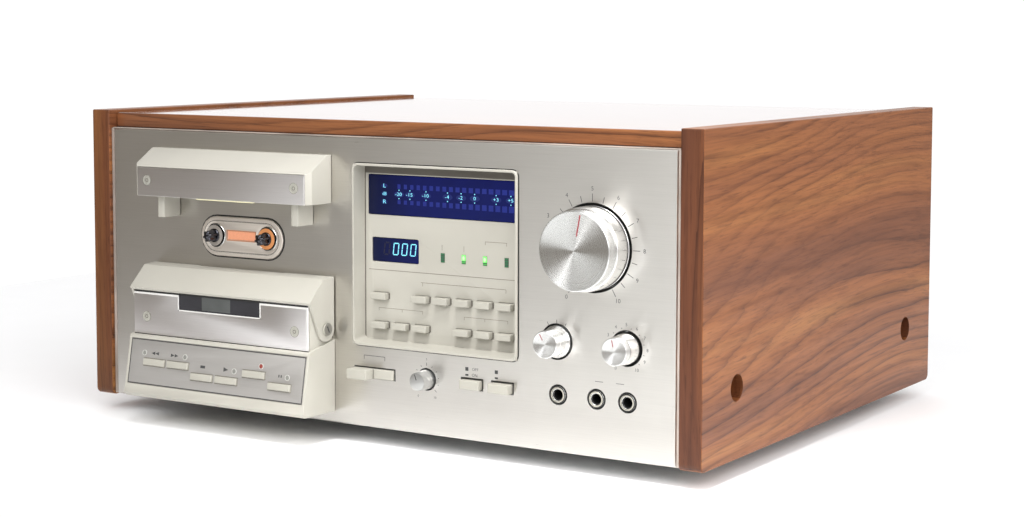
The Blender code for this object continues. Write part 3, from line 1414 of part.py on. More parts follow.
def make_knobs():
    profile = [
        (TRIMMER_SHAFT, TRIMMER_SHAFT_BACK),
        (TRIMMER_SHAFT, KNOB_BACK),
        (TRIMMER_RADIUS, KNOB_BACK),
        (TRIMMER_RADIUS, TRIMMER_OUT - TRIMMER_EDGE),
        (TRIMMER_RADIUS - TRIMMER_EDGE, TRIMMER_OUT),
    ]
    knob = turned("trimmer_knob", profile, TRIMMER_X, TRIMMER_Z)
    finish(pivot(knob, TRIMMER_X, 0.0, TRIMMER_Z), "button_cream")

    start = INPUT_SPLIT + GAP / 2
    profile = [
        (INPUT_SHAFT, INPUT_SHAFT_BACK),
        (INPUT_SHAFT, start),
        (INPUT_RADIUS - INPUT_EDGE, start),
        (INPUT_RADIUS, start + INPUT_EDGE),
        (INPUT_RADIUS, INPUT_OUT - INPUT_EDGE),
        (INPUT_RADIUS - INPUT_EDGE, INPUT_OUT),
    ]
    knob = turned("input_knob", profile, INPUT_X, INPUT_Z, FINE_STEPS)
    groove(knob, INPUT_X, INPUT_Z, INPUT_POINTER_TURN, *INPUT_POINTER, INPUT_OUT)
    finish(pivot(knob, INPUT_X, 0.0, INPUT_Z), "knob_aluminium")
    end = INPUT_SPLIT - GAP / 2
    sleeve = INPUT_SLEEVE + INPUT_SLEEVE_WALL
    profile = [
        (INPUT_SLEEVE, INPUT_SLEEVE_BACK),
        (sleeve, INPUT_SLEEVE_BACK),
        (sleeve, KNOB_BACK),
        (INPUT_RING_RADIUS, KNOB_BACK),
        (INPUT_RING_RADIUS, end - INPUT_EDGE),
        (INPUT_RING_RADIUS - INPUT_EDGE, end),
        (INPUT_SLEEVE, end),
    ]
    ring = turned("input_ring", profile, INPUT_X, INPUT_Z, FINE_STEPS, looped=True)
    finish(pivot(ring, INPUT_X, 0.0, INPUT_Z), "knob_aluminium")

    profile = [
        (SMALL_SHAFT, SMALL_SHAFT_BACK),
        (SMALL_SHAFT, KNOB_BACK),
        (SELECTOR_BASE_RADIUS, KNOB_BACK),
        (SELECTOR_BASE_RADIUS, SELECTOR_SKIRT_OUT),
        (SELECTOR_NECK_RADIUS, SELECTOR_NECK_OUT),
        (SELECTOR_RADIUS, SELECTOR_OUT - SMALL_EDGE),
        (SELECTOR_RADIUS - SMALL_EDGE, SELECTOR_OUT),
    ]
    knob = turned("selector_knob", profile, SELECTOR_X, SMALL_KNOB_Z)
    reach = (SMALL_POINTER_START, SELECTOR_RADIUS + THROUGH)
    groove(knob, SELECTOR_X, SMALL_KNOB_Z, SELECTOR_POINTER_TURN, *reach, SELECTOR_OUT)
    finish(pivot(knob, SELECTOR_X, 0.0, SMALL_KNOB_Z), "knob_aluminium")

    start = OUTPUT_SPLIT + GAP / 2
    profile = [
        (SMALL_SHAFT, SMALL_SHAFT_BACK),
        (SMALL_SHAFT, start),
        (OUTPUT_RADIUS, start),
        (OUTPUT_RADIUS, OUTPUT_OUT - SMALL_EDGE),
        (OUTPUT_RADIUS - SMALL_EDGE, OUTPUT_OUT),
    ]
    knob = turned("output_knob", profile, OUTPUT_X, SMALL_KNOB_Z)
    reach = (SMALL_POINTER_START, OUTPUT_RADIUS + THROUGH)
    groove(knob, OUTPUT_X, SMALL_KNOB_Z, OUTPUT_POINTER_TURN, *reach, OUTPUT_OUT)
    finish(pivot(knob, OUTPUT_X, 0.0, SMALL_KNOB_Z), "knob_aluminium")
    sleeve = OUTPUT_SLEEVE + OUTPUT_SLEEVE_WALL
    profile = [
        (OUTPUT_SLEEVE, OUTPUT_SLEEVE_BACK),
        (sleeve, OUTPUT_SLEEVE_BACK),
        (sleeve, KNOB_BACK),
        (OUTPUT_BASE_RADIUS, KNOB_BACK),
        (OUTPUT_RING_RADIUS, OUTPUT_SPLIT - GAP / 2),
        (OUTPUT_SLEEVE, OUTPUT_SPLIT - GAP / 2),
    ]
    ring = turned("output_ring", profile, OUTPUT_X, SMALL_KNOB_Z, looped=True)
    finish(pivot(ring, OUTPUT_X, 0.0, SMALL_KNOB_Z), "knob_aluminium")


def make_bracket():
    """The jacks and the controls' bushes on one sheet behind the faceplate."""
    half = JACK_BODY_HALF + BRACKET_MARGIN
    back = BRACKET_FRONT - BRACKET_SHEET
    sleeve = INPUT_SLEEVE + INPUT_SLEEVE_WALL
    bracket = box(
        "control_bracket",
        JACK_XS[0] - half,
        JACK_XS[-1] + half,
        back,
        BRACKET_FRONT,
        JACK_Z - half,
        INPUT_Z + sleeve + BRACKET_KNOB_MARGIN,
    )
    low = (JACK_Z + JACK_HOLE + SMALL_KNOB_Z - SELECTOR_HOLE) / 2
    high = (SMALL_KNOB_Z + SELECTOR_HOLE + INPUT_Z - INPUT_HOLE) / 2
    for level, z in (("low", low), ("high", high)):
        for hand, left in (("left", JACK_XS[0] - half), ("right", JACK_XS[-1] + half - BRACKET_POST)):
            post = box(
                f"bracket_post_{level}_{hand}",
                left,
                left + BRACKET_POST,
                BRACKET_FRONT - OVERLAP,
                FACE_BACK - GAP,
                z - BRACKET_POST / 2,
                z + BRACKET_POST / 2,
            )
            join(bracket, post)
    for name, x, z, radius in (
        ("input", INPUT_X, INPUT_Z, sleeve),
        ("selector", SELECTOR_X, SMALL_KNOB_Z, SMALL_SHAFT),
        ("output", OUTPUT_X, SMALL_KNOB_Z, OUTPUT_SLEEVE + OUTPUT_SLEEVE_WALL),
    ):
        reach = [(radius + RUN, back - THROUGH), (radius + RUN, BRACKET_FRONT + THROUGH)]
        cut(bracket, turned(f"{name}_bush", reach, x, z))
    for number, x in enumerate(JACK_XS):
        body = box(
            f"jack_body_{number}",
            x - JACK_BODY_HALF,
            x + JACK_BODY_HALF,
            JACK_BODY_BACK,
            JACK_BODY_FRONT,
            JACK_Z - JACK_BODY_HALF,
            JACK_Z + JACK_BODY_HALF,
        )
        profile = [
            (JACK_NOSE, JACK_BODY_FRONT - OVERLAP),
            (JACK_NOSE, JACK_NOSE_OUT - JACK_NOSE_EDGE),
            (JACK_NOSE - JACK_NOSE_EDGE, JACK_NOSE_OUT),
        ]
        join(bracket, body, turned(f"jack_nose_{number}", profile, x, JACK_Z))
        reach = [(JACK_BORE, JACK_BORE_BACK), (JACK_BORE, JACK_NOSE_OUT + THROUGH)]
        cut(bracket, turned(f"jack_bore_{number}", reach, x, JACK_Z, COARSE_STEPS))
    finish(bracket, "bright_steel")


def make_rear_fittings():
    half_x = SOCKET_PITCH_X / 2 + SOCKET_MARGIN
    half_z = SOCKET_PITCH_Z / 2 + SOCKET_MARGIN
    body_x = SOCKET_PITCH_X / 2 + SOCKET_WINDOW_MARGIN - GAP
    body_z = SOCKET_PITCH_Z / 2 + SOCKET_WINDOW_MARGIN - GAP
    plate_front = REAR_FACE - GAP
    block = box(
        "socket_block",
        SOCKET_X - half_x,
        SOCKET_X + half_x,
        plate_front - SOCKET_PLATE,
        plate_front,
        SOCKET_Z - half_z,
        SOCKET_Z + half_z,
    )
    body = box(
        "socket_body",
        SOCKET_X - body_x,
        SOCKET_X + body_x,
        plate_front - OVERLAP,
        REAR_INNER + SOCKET_BODY,
        SOCKET_Z - body_z,
        SOCKET_Z + body_z,
    )
    join(block, body)
    rear = plate_front - SOCKET_PLATE
    for row in (-1, 1):
        for column in (-1, 1):
            x = SOCKET_X + column * SOCKET_PITCH_X / 2
            z = SOCKET_Z + row * SOCKET_PITCH_Z / 2
            tip = rear - SOCKET_LENGTH + SOCKET_PLATE
            sleeve = turned(
                f"socket_{row}_{column}",
                [(SOCKET_RADIUS, tip), (SOCKET_RADIUS, rear + OVERLAP)],
                x,
                z,
                COARSE_STEPS,
            )
            join(block, sleeve)
            bore = turned(
                f"socket_bore_{row}_{column}",
                [(SOCKET_BORE, tip - THROUGH), (SOCKET_BORE, REAR_INNER)],
                x,
                z,
                COARSE_STEPS,
            )
            cut(block, bore)
    finish(block, "black_plastic")
    outer = REAR_FACE - GAP
    profile = [
        (GLAND_BORE, REAR_INNER + GLAND_INSIDE),
        (GLAND_RADIUS, REAR_INNER + GLAND_INSIDE),
        (GLAND_RADIUS, outer),
        (GLAND_FLANGE, outer),
        (GLAND_FLANGE, outer - GLAND_FLANGE_THICKNESS),
        (GLAND_NOSE_RADIUS, outer - GLAND_NOSE),
        (GLAND_BORE, outer - GLAND_NOSE),
    ]
    finish(turned("cord_gland", profile, GLAND_X, GLAND_Z, COARSE_STEPS, looped=True), "black_rubber")


def make_board():
    top = BOARD_Z + BOARD_THICKNESS
    board = box("main_board", BOARD_LEFT, BOARD_RIGHT, BOARD_BACK, BOARD_FRONT, BOARD_Z, top)

    def spot(shares):
        across, ahead = shares
        return (
            BOARD_LEFT + (BOARD_RIGHT - BOARD_LEFT) * across,
            BOARD_BACK + (BOARD_FRONT - BOARD_BACK) * ahead,
        )

    def stand(name, shares, size, lift=0.0):
        x, far = spot(shares)
        wide, deep, tall = size
        base = top - OVERLAP + lift
        return box(name, x - wide / 2, x + wide / 2, far - deep / 2, far + deep / 2, base, base + tall)

    join(board, stand("transformer_core", CORE_SHARES, CORE_SIZE))
    join(board, stand("transformer_coil", CORE_SHARES, COIL_SIZE, (CORE_SIZE[2] - COIL_SIZE[2]) / 2))
    for number, (shares, (radius, height)) in enumerate(zip(CAPACITOR_SHARES, CAPACITOR_SIZES)):
        can = [(radius, top - OVERLAP), (radius, top + height)]
        join(board, upright(f"capacitor_{number}", can, *spot(shares), COARSE_STEPS))
    join(board, stand("heat_sink", SINK_SHARES, SINK_SIZE))
    for number, shares in enumerate(CARD_SHARES):
        join(board, stand(f"card_{number}", shares, CARD_SIZE))
    for x in (BOARD_LEFT + BOARD_POST_INSET, BOARD_RIGHT - BOARD_POST_INSET):
        for number, far in enumerate((BOARD_FRONT - BOARD_POST_INSET, BOARD_BACK + BOARD_POST_INSET)):
            leg = [(BOARD_POST_RADIUS, COVER_TOP + GAP), (BOARD_POST_RADIUS, BOARD_Z + OVERLAP)]
            join(board, upright(f"post_{number}", leg, x, far, COARSE_STEPS))
    finish(board, "board_green")


def main():
    for old in list(bpy.data.objects):
        bpy.data.objects.remove(old)
    make_case()
    make_faceplate()
    make_chassis()
    make_escutcheon()
    make_hood()
    make_housing()
    make_plates()
    make_keys()
    make_head_cover()
    make_spindle("spindle_left", TRANSPORT_X - HUB_OFFSET)
    make_spindle("spindle_right", TRANSPORT_X + HUB_OFFSET)
    make_head_bridge()
    make_drive()
    make_bezel()
    make_filter()
    make_presses()
    make_knobs()
    make_bracket()
    make_rear_fittings()
    make_board()


main()
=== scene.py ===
"""Looks of a wooden-cased cassette deck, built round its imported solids."""

import json
import math

import bmesh
import bpy
from mathutils import Matrix, Vector

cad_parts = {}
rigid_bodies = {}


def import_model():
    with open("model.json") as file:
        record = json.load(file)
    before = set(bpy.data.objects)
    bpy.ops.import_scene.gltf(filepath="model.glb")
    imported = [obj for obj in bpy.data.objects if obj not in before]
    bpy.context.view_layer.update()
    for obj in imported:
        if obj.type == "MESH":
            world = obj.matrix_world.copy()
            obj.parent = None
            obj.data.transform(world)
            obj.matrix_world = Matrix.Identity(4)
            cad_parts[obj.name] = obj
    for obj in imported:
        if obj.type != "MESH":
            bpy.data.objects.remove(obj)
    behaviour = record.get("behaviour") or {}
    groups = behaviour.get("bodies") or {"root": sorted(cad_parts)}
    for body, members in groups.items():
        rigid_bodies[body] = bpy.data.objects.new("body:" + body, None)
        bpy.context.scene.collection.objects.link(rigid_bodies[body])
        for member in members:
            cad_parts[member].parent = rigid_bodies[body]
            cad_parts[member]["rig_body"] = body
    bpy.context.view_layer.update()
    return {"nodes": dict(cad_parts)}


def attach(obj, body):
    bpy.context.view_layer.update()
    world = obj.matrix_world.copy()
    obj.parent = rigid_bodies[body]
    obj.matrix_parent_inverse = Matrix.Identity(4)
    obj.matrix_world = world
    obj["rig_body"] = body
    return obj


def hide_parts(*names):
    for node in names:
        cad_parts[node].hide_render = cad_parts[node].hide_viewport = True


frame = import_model()
nodes = frame["nodes"]

# Places in metres. A pair is (x, z) on the face, and p is how far a point stands in front of the faceplate
FACE_Y = -0.15915
SIDES = ((-1, "left"), (1, "right"))

# The transport's middle, its hubs, oval plate, screws, pivots and cover plate
TX = -0.1008
HUB_Z, HUB_SPREAD = 0.1232, 0.02125
OVAL_P, OVAL_Z = 0.0013, 0.1228
SCREW_RADIUS = 0.00325
PIVOT_P, PIVOT_Z = 0.0086, 0.0709
PLATE_P, PLATE_LEFT, PLATE_RIGHT = 0.024, -0.1719, -0.0297

# The keypad's sloping plate, from its foot to its head as (p, z), and the painted shadow in the gaps round
# its keys
SLOPE_FOOT, SLOPE_HEAD = (0.0325, 0.0209), (0.0257, 0.0581)
TILT = math.atan2(SLOPE_FOOT[0] - SLOPE_HEAD[0], SLOPE_HEAD[1] - SLOPE_FOOT[1])
KEY_GAP_OUTER, KEY_GAP_INNER = (0.0093, 0.0026), (0.0089, 0.0022)
KEY_LAMP_RADIUS, KEY_LAMP_RIM = 0.00142, 0.0018

# The display's panel, deeper windows and lit figures, the columns of its grid, its lamps, meter and counter
PANEL_P, PANE_P, GLYPH_P = -0.0101, -0.0105, -0.01042
COLUMN_X, COLUMN_PITCH = 0.0011, 0.01517
LAMP_HALF, LAMP_LOW, LAMP_MIDDLE, LAMP_HIGH = 0.0013, 0.1154, 0.1173, 0.1208
METER_X, METER_Z = 0.0032, 0.1549
SEGMENT_X, SEGMENT_PITCH, SEGMENTS = 0.0141, 0.00477, 18
DIGIT_Z, DIGIT_LEAN = 0.1213, 0.12

# The controls, the ends of their dials in degrees either way, and the jacks
INPUT = (0.156, 0.1318)
SELECTOR = (0.1327, 0.076)
OUTPUT = (0.1785, 0.076)
TRIMMER = (0.0415, 0.0451)
DIAL_END, TRIMMER_END = 150, 135
INPUT_INDEX = 60
JACKS = ((0.1338, 0.0451), (0.1593, 0.0451), (0.1795, 0.0451))

# How thick printed ink, painted shade and other thin films are, and the angle from which an edge stays sharp
THIN = 0.00003
SMOOTH = math.radians(32)


def out(p):
    """The Y of a point this far in front of the faceplate."""
    return FACE_Y - p


# Materials


class Nodes:
    """Short ways to add nodes to a shader tree.

    A Mix node takes its factor at 0, two vectors at 4 and 5 and two colours at 6 and 7. Its outputs are a
    vector at 1 and a colour at 2.
    """

    def __init__(self, tree):
        self.tree = tree

    def feed(self, socket, value):
        if isinstance(value, bpy.types.NodeSocket):
            self.tree.links.new(value, socket)
        else:
            socket.default_value = value

    def node(self, kind, inputs=None, **settings):
        made = self.tree.nodes.new("ShaderNode" + kind)
        for key, value in settings.items():
            setattr(made, key, value)
        for key, value in (inputs or {}).items():
            self.feed(made.inputs[key], value)
        return made

    def math(self, what, a, b=0.0):
        return self.node("Math", {0: a, 1: b}, operation=what).outputs[0]

    def mix(self, factor, a, b, blend="MIX"):
        a, b = ((*c, 1) if isinstance(c, tuple) else c for c in (a, b))
        return self.node("Mix", {0: factor, 6: a, 7: b}, data_type="RGBA", blend_type=blend).outputs[2]

    def span(self, value, low, high, start=0.0, end=1.0, **settings):
        ends = {"Value": value, "From Min": low, "From Max": high, "To Min": start, "To Max": end}
        return self.node("MapRange", ends, **settings).outputs[0]


class Paint(Nodes):
    """A Principled material."""

    def __init__(self, name, colour=(0.5, 0.5, 0.5), roughness=0.5, metallic=0.0):
        self.material = bpy.data.materials.new(name)
        self.material.use_nodes = True
        super().__init__(self.material.node_tree)
        self.shader = self.tree.nodes["Principled BSDF"]
        self.set("Base Color", (*colour, 1))
        self.set("Roughness", roughness)
        self.set("Metallic", metallic)

    def set(self, socket, value):
        self.feed(self.shader.inputs[socket], value)

    def place(self, scale=(1, 1, 1), offset=(0, 0, 0), turn=(0, 0, 0)):
        spot = self.node("TexCoord").outputs["Object"]
        inputs = {"Vector": spot, "Scale": scale, "Location": offset, "Rotation": turn}
        return self.node("Mapping", inputs).outputs[0]

    def noise(self, where, scale, detail, rough=0.55):
        inputs = {"Vector": where, "Scale": scale, "Detail": detail, "Roughness": rough}
        return self.node("TexNoise", inputs).outputs["Fac"]

    def ramp(self, factor, *stops):
        made = self.node("ValToRGB", {"Fac": factor})
        band = made.color_ramp
        while len(band.elements) < len(stops):
            band.elements.new(0.5)
        for element, (place, colour) in zip(band.elements, stops):
            element.position = place
            element.color = (*colour, 1)
        return made.outputs["Color"]

    def bump(self, height, strength, distance):
        inputs = {"Height": height, "Strength": strength, "Distance": distance}
        return self.node("Bump", inputs).outputs["Normal"]


def scaled(colour, factor):
    return tuple(min(1.0, c * factor) for c in colour)


def wood(name, tint, turn=(0, 0, 0), upright_front=False, gloss=0.06):
    """Walnut whose grain runs front to back, unless turned; front edges can have it run upright."""
    p = Paint(name, roughness=0.42)
    where = p.place(turn=turn)
    if upright_front:
        facing = p.node("SeparateXYZ", {0: p.node("TexCoord").outputs["Normal"]}).outputs["Y"]
        front = p.math("LESS_THAN", facing, -0.6)
        stood = p.place(turn=(math.pi / 2, 0, 0), offset=(0.31, 0.17, 0.05))
        where = p.node("Mix", {0: front, 4: where, 5: stood}, data_type="VECTOR").outputs[1]

    def grain(vector, across, along, detail, rough=0.55):
        stretched = p.node("Mapping", {"Vector": vector, "Scale": (across, along, across)}).outputs[0]
        return p.noise(stretched, 1.0, detail, rough)

    # Slow bends carry all of the figure along
    bend = grain(where, 3.0, 2.2, 0.6)
    waver = grain(where, 14, 9, 2.0)
    shift = p.math("MULTIPLY", bend, 0.06)
    lift = p.math("ADD", shift, p.math("MULTIPLY", waver, 0.005))
    moved = p.node("CombineXYZ", {"X": shift, "Y": 0.0, "Z": lift}).outputs[0]
    bent = p.node("VectorMath", {0: where, 1: moved}, operation="ADD").outputs[0]
    lines = grain(bent, 130, 1.1, 4.0, 0.62)
    body = p.ramp(
        grain(bent, 30, 0.7, 2.0, 0.5),
        (0.3, scaled((0.17, 0.06, 0.026), tint)),
        (0.42, scaled((0.225, 0.08, 0.03), tint)),
        (0.54, scaled((0.275, 0.1, 0.033), tint)),
        (0.7, scaled((0.34, 0.145, 0.046), tint)),
    )
    dark = p.ramp(
        lines,
        (0.3, (0.62, 0.59, 0.58)),
        (0.43, (0.9, 0.88, 0.87)),
        (0.5, (1, 1, 1)),
        (0.68, (1.15, 1.16, 1.15)),
    )
    colour = p.mix(0.65, body, dark, "MULTIPLY")

    # Growth lines, shown in some places more than in others
    parts = p.node("SeparateXYZ", {0: bent})
    across = p.math("ADD", p.math("MULTIPLY", parts.outputs["X"], 0.6), parts.outputs["Z"])
    sweep = grain(where, 5.0, 1.9, 1.2)
    phase = p.math("ADD", p.math("MULTIPLY", across, 95.0), p.math("MULTIPLY", sweep, 17.0))
    phase = p.math("ADD", phase, p.math("MULTIPLY", lines, 0.6))
    ring = p.ramp(
        p.math("FRACT", phase),
        (0.0, (0.34, 0.29, 0.28)),
        (0.1, (0.68, 0.63, 0.61)),
        (0.32, (1, 1, 1)),
        (0.84, (1.1, 1.1, 1.08)),
        (1.0, (0.86, 0.84, 0.83)),
    )
    shown = p.span(grain(where, 11, 2.4, 2.0), 0.36, 0.56, 0.3, 1.0)
    colour = p.mix(shown, colour, ring, "MULTIPLY")

    # Fine threads and pores
    fine = grain(bent, 620, 7, 3.0, 0.6)
    thread = p.ramp(fine, (0.34, (0.72, 0.68, 0.66)), (0.5, (1, 1, 1)), (0.68, (1.14, 1.12, 1.1)))
    colour = p.mix(0.8, colour, thread, "MULTIPLY")
    pores = grain(bent, 1300, 40, 2.0)
    speck = p.ramp(pores, (0.3, (0.55, 0.5, 0.5)), (0.42, (1, 1, 1)))
    colour = p.mix(0.7, colour, speck, "MULTIPLY")
    if upright_front:
        colour = p.mix(front, colour, (0.52, 0.48, 0.52), "MULTIPLY")
    p.set("Base Color", colour)
    p.set("Roughness", p.span(lines, 0.3, 0.7, 0.46, 0.36))
    p.set("Normal", p.bump(pores, 0.25, 0.0001))
    p.set("Specular IOR Level", 0.3)
    p.set("Coat Weight", gloss)
    p.set("Coat Roughness", 0.2 if gloss < 0.5 else 0.06)
    return p.material


def brushed(name, colour, roughness, spread=0.85, metallic=1.0):
    """Aluminium brushed along X."""
    p = Paint(name, colour, roughness, metallic)
    fine = p.noise(p.place((36, 2600, 2600)), 1.0, 3.0, 0.6)
    coarse = p.noise(p.place((30, 1700, 1700)), 1.0, 1.0, 0.5)
    both = p.math("ADD", p.math("MULTIPLY", fine, 0.6), p.math("MULTIPLY", coarse, 0.4))
    high = scaled(colour, 1.06)
    tone = p.ramp(both, (0.3, scaled(colour, 0.93)), (0.7, high))
    drift = p.ramp(p.noise(p.place(), 9.0, 3.0), (0.3, scaled(colour, 0.95)), (0.7, high))
    p.set("Base Color", p.mix(0.5, tone, drift))
    p.set("Roughness", p.span(both, 0.25, 0.75, roughness - 0.02, roughness + 0.05))
    p.set("Normal", p.bump(both, 0.03, 0.00008))
    p.set("Anisotropic", spread)
    p.set("Anisotropic Rotation", 0.25)
    return p.material


def spun(name, colour, roughness=0.26, spread=0.97):
    """Aluminium turned about an axis along Y through the middle of its piece."""
    p = Paint(name, colour, roughness, 1.0)
    spot = p.node("TexCoord").outputs["Generated"]
    centred = p.node("VectorMath", {0: spot, 1: (0.5, 0.5, 0.5)}, operation="SUBTRACT").outputs[0]
    flat = p.node("VectorMath", {0: centred, 1: (1, 0, 1)}, operation="MULTIPLY").outputs[0]
    radius = p.node("VectorMath", {0: flat}, operation="LENGTH").outputs["Value"]
    groove = p.noise(p.node("CombineXYZ", {"X": radius}).outputs[0], 160.0, 4.0, 0.7)
    p.set("Base Color", p.ramp(groove, (0.3, scaled(colour, 0.9)), (0.7, scaled(colour, 1.06))))
    p.set("Normal", p.bump(groove, 0.12, 0.00005))
    p.set("Roughness", p.span(groove, 0.3, 0.7, roughness - 0.04, roughness + 0.06))
    p.set("Anisotropic", spread)
    p.set("Anisotropic Rotation", 0.25)
    p.set("Tangent", p.node("Tangent", direction_type="RADIAL", axis="Y").outputs[0])
    return p.material


def satin(name, colour, roughness=0.45, speck=0.05, metallic=0.0, grain=1500.0):
    """Paint, plastic or plain metal with a fine uneven skin."""
    p = Paint(name, colour, roughness, metallic)
    cloud = p.noise(p.place(), 22.0, 3.0)
    tone = p.ramp(cloud, (0.3, scaled(colour, 1 - speck)), (0.7, scaled(colour, 1 + speck * 0.6)))
    p.set("Base Color", tone)
    p.set("Roughness", p.span(cloud, 0.3, 0.7, roughness - 0.04, roughness + 0.05))
    p.set("Normal", p.bump(p.noise(p.place(), grain, 2.0), 0.08, 0.00003))
    return p.material


def glow(name, colour, strength, base=(0.01, 0.01, 0.01)):
    """Something lit from inside."""
    p = Paint(name, base, 0.4)
    shade = p.noise(p.place(), 700.0, 1.0)
    p.set("Emission Color", p.ramp(shade, (0.3, scaled(colour, 0.85)), (0.7, colour)))
    p.set("Emission Strength", strength)
    p.set("Specular IOR Level", 0.15)
    return p.material


def field(name, start, end):
    """The faint blue of a display, fading out towards its left end."""
    p = Paint(name, (0.006, 0.008, 0.02), 0.15)
    split = p.node("SeparateXYZ", {0: p.node("TexCoord").outputs["Object"]}).outputs["X"]
    cloud = p.noise(p.place(), 60.0, 2.0)
    level = p.math("MULTIPLY", p.span(split, start, end, 0.15, 1.0), p.span(cloud, 0.2, 0.8, 0.75, 1.15))
    p.set("Emission Color", p.ramp(level, (0.0, (0.0, 0.0, 0.002)), (1.0, (0.003, 0.005, 0.085))))
    p.set("Emission Strength", 1.0)
    p.set("Specular IOR Level", 0.15)
    return p.material


materials = {
    "walnut": wood("walnut", 0.92, upright_front=True),
    "walnut_top": wood("walnut_top", 0.84, turn=(0, 0, math.pi / 2), gloss=1.0),
    "face": brushed("face_brushed", (0.68, 0.66, 0.625), 0.29),
    "plate": brushed("plate_brushed", (0.78, 0.755, 0.75), 0.36),
    "pad": brushed("pad_brushed", (0.37, 0.355, 0.335), 0.55, 0.3, 0.5),
    "oval": brushed("oval_plate", (0.66, 0.6, 0.54), 0.45, 0.4, 0.7),
    "steel": brushed("steel_sheet", (0.5, 0.5, 0.49), 0.4),
    "knob": spun("knob_spun", (0.78, 0.78, 0.77)),
    "knob_small": spun("knob_small_spun", (0.82, 0.82, 0.81), 0.27),
    "rim": spun("rim_turned", (0.8, 0.79, 0.77), 0.22, 0.4),
    "cream": satin("cream_paint", (0.45, 0.432, 0.378), 0.42),
    "button": satin("button_cream", (0.39, 0.375, 0.325), 0.4),
    "panel": satin("panel_cream", (0.405, 0.388, 0.338), 0.42),
    "black": satin("black_plastic", (0.012, 0.012, 0.012), 0.45, 0.2),
    "rubber": satin("rubber_black", (0.018, 0.018, 0.018), 0.8, 0.2, 0.0, 2500.0),
    "board": satin("board_green", (0.03, 0.12, 0.06), 0.5, 0.2),
    "chrome": satin("chrome_dark", (0.065, 0.065, 0.075), 0.1, 0.1, 1.0),
    "bright": satin("steel_bright", (0.72, 0.72, 0.71), 0.2, 0.05, 1.0),
    "brass": satin("brass_turned", (0.72, 0.52, 0.24), 0.28, 0.08, 1.0),
    "screw": satin("screw_satin", (0.43, 0.42, 0.37), 0.42, 0.08, 0.4),
    "pivot": satin("pivot_satin", (0.3, 0.29, 0.26), 0.34, 0.12, 0.8),
    "bush": satin("bush_satin", (0.42, 0.4, 0.34), 0.35, 0.1, 0.3),
    "trimmer": satin("trimmer_satin", (0.46, 0.46, 0.45), 0.3, 0.1, 0.85),
    "seam": satin("edge_worn", (0.5, 0.43, 0.38), 0.4, 0.4, 0.3, 300.0),
    # Painted highlight for the lit edges of the head cover plate
    "painted_highlight": satin("edge_bright", (0.78, 0.77, 0.74), 0.35, 0.06, 0.2),
    "well": satin("well_grey", (0.3, 0.27, 0.24), 0.5, 0.2),
    # Taupe for painted shade under the bezel's top, beside the buttons, in the bezel's corner and round screw
    # heads, and for the screws' hexagon lines
    "taupe": satin("lining_taupe", (0.12, 0.108, 0.09), 0.6, 0.15),
    "ink": satin("ink_grey", (0.045, 0.045, 0.045), 0.6, 0.1),
    # Soft ink for print, also used for painted shadow round the keys and inside the oval plate's step
    "ink_soft": satin("ink_soft", (0.2, 0.185, 0.155), 0.6, 0.1),
    "white_ink": satin("ink_white", (0.5, 0.49, 0.46), 0.5, 0.05),
    "red": satin("pointer_red", (0.28, 0.03, 0.04), 0.45, 0.1),
    "window": satin("window_navy", (0.006, 0.008, 0.025), 0.14, 0.3),
    "smoke": satin("window_smoke", (0.035, 0.035, 0.04), 0.12, 0.3),
    "smoke_light": satin("window_patch", (0.085, 0.09, 0.088), 0.2, 0.3),
    "lamp_red": satin("lamp_red", (0.25, 0.05, 0.04), 0.3, 0.2),
    "lamp_grey": satin("lamp_grey", (0.22, 0.22, 0.2), 0.3, 0.2),
    "green_dark": satin("lamp_green_dark", (0.02, 0.12, 0.05), 0.3, 0.2),
    "orange_frame": satin("lamp_orange_frame", (0.42, 0.19, 0.1), 0.45, 0.15),
    "orange": glow("lamp_orange", (0.8, 0.35, 0.22), 0.62, (0.35, 0.15, 0.08)),
    # Painted orange lamp light on the right spindle's seat
    "orange_painted_light": glow("lamp_orange_dim", (0.8, 0.3, 0.1), 0.5, (0.3, 0.14, 0.06)),
    "green": glow("lamp_green", (0.22, 0.8, 0.13), 0.9, (0.1, 0.4, 0.12)),
    "green_core": glow("lamp_green_core", (0.6, 1.0, 0.42), 1.1, (0.1, 0.4, 0.12)),
    "green_mid": glow("lamp_green_mid", (0.2, 0.75, 0.15), 0.5, (0.05, 0.25, 0.05)),
    "lamp": glow("lamp_slit", (0.72, 0.68, 0.4), 0.7, (0.6, 0.58, 0.4)),
    "cyan": glow("segment_cyan", (0.25, 0.8, 1.0), 1.6),
    "blue": glow("segment_blue", (0.02, 0.045, 0.5), 0.5),
    "halo": glow("segment_halo", (0.006, 0.02, 0.19), 0.8),
    "ghost": glow("segment_ghost", (0.012, 0.012, 0.07), 0.5),
    "meter_blue": field("meter_field", -0.009, 0.03),
    "counter_blue": field("counter_field", -0.008, 0.03),
}


# Outlines: lists of points in a plane


def circle(steps):
    return [2 * math.pi * step / steps for step in range(steps)]


def arc(start, sweep, steps):
    return [start + sweep * step / steps for step in range(steps + 1)]


def rect(u0, u1, v0, v1):
    return [(u0, v0), (u1, v0), (u1, v1), (u0, v1)]


def block(u, v, half_u, half_v):
    return rect(u - half_u, u + half_u, v - half_v, v + half_v)


def disc(u, v, radius, steps=24, flat=1.0):
    return [(u + radius * math.cos(a), v + flat * radius * math.sin(a)) for a in circle(steps)]


def arrow(u, v, size, way=1):
    back, side = way * size / 2, size * 0.36
    return [(u - back, v - side), (u + back, v), (u - back, v + side)]


def stadium(u, v, half_u, half_v):
    points = []
    for centre, start in ((half_u - half_v, -math.pi / 2), (half_v - half_u, math.pi / 2)):
        for a in arc(start, math.pi, 12):
            points.append((u + centre + half_v * math.cos(a), v + half_v * math.sin(a)))
    return points


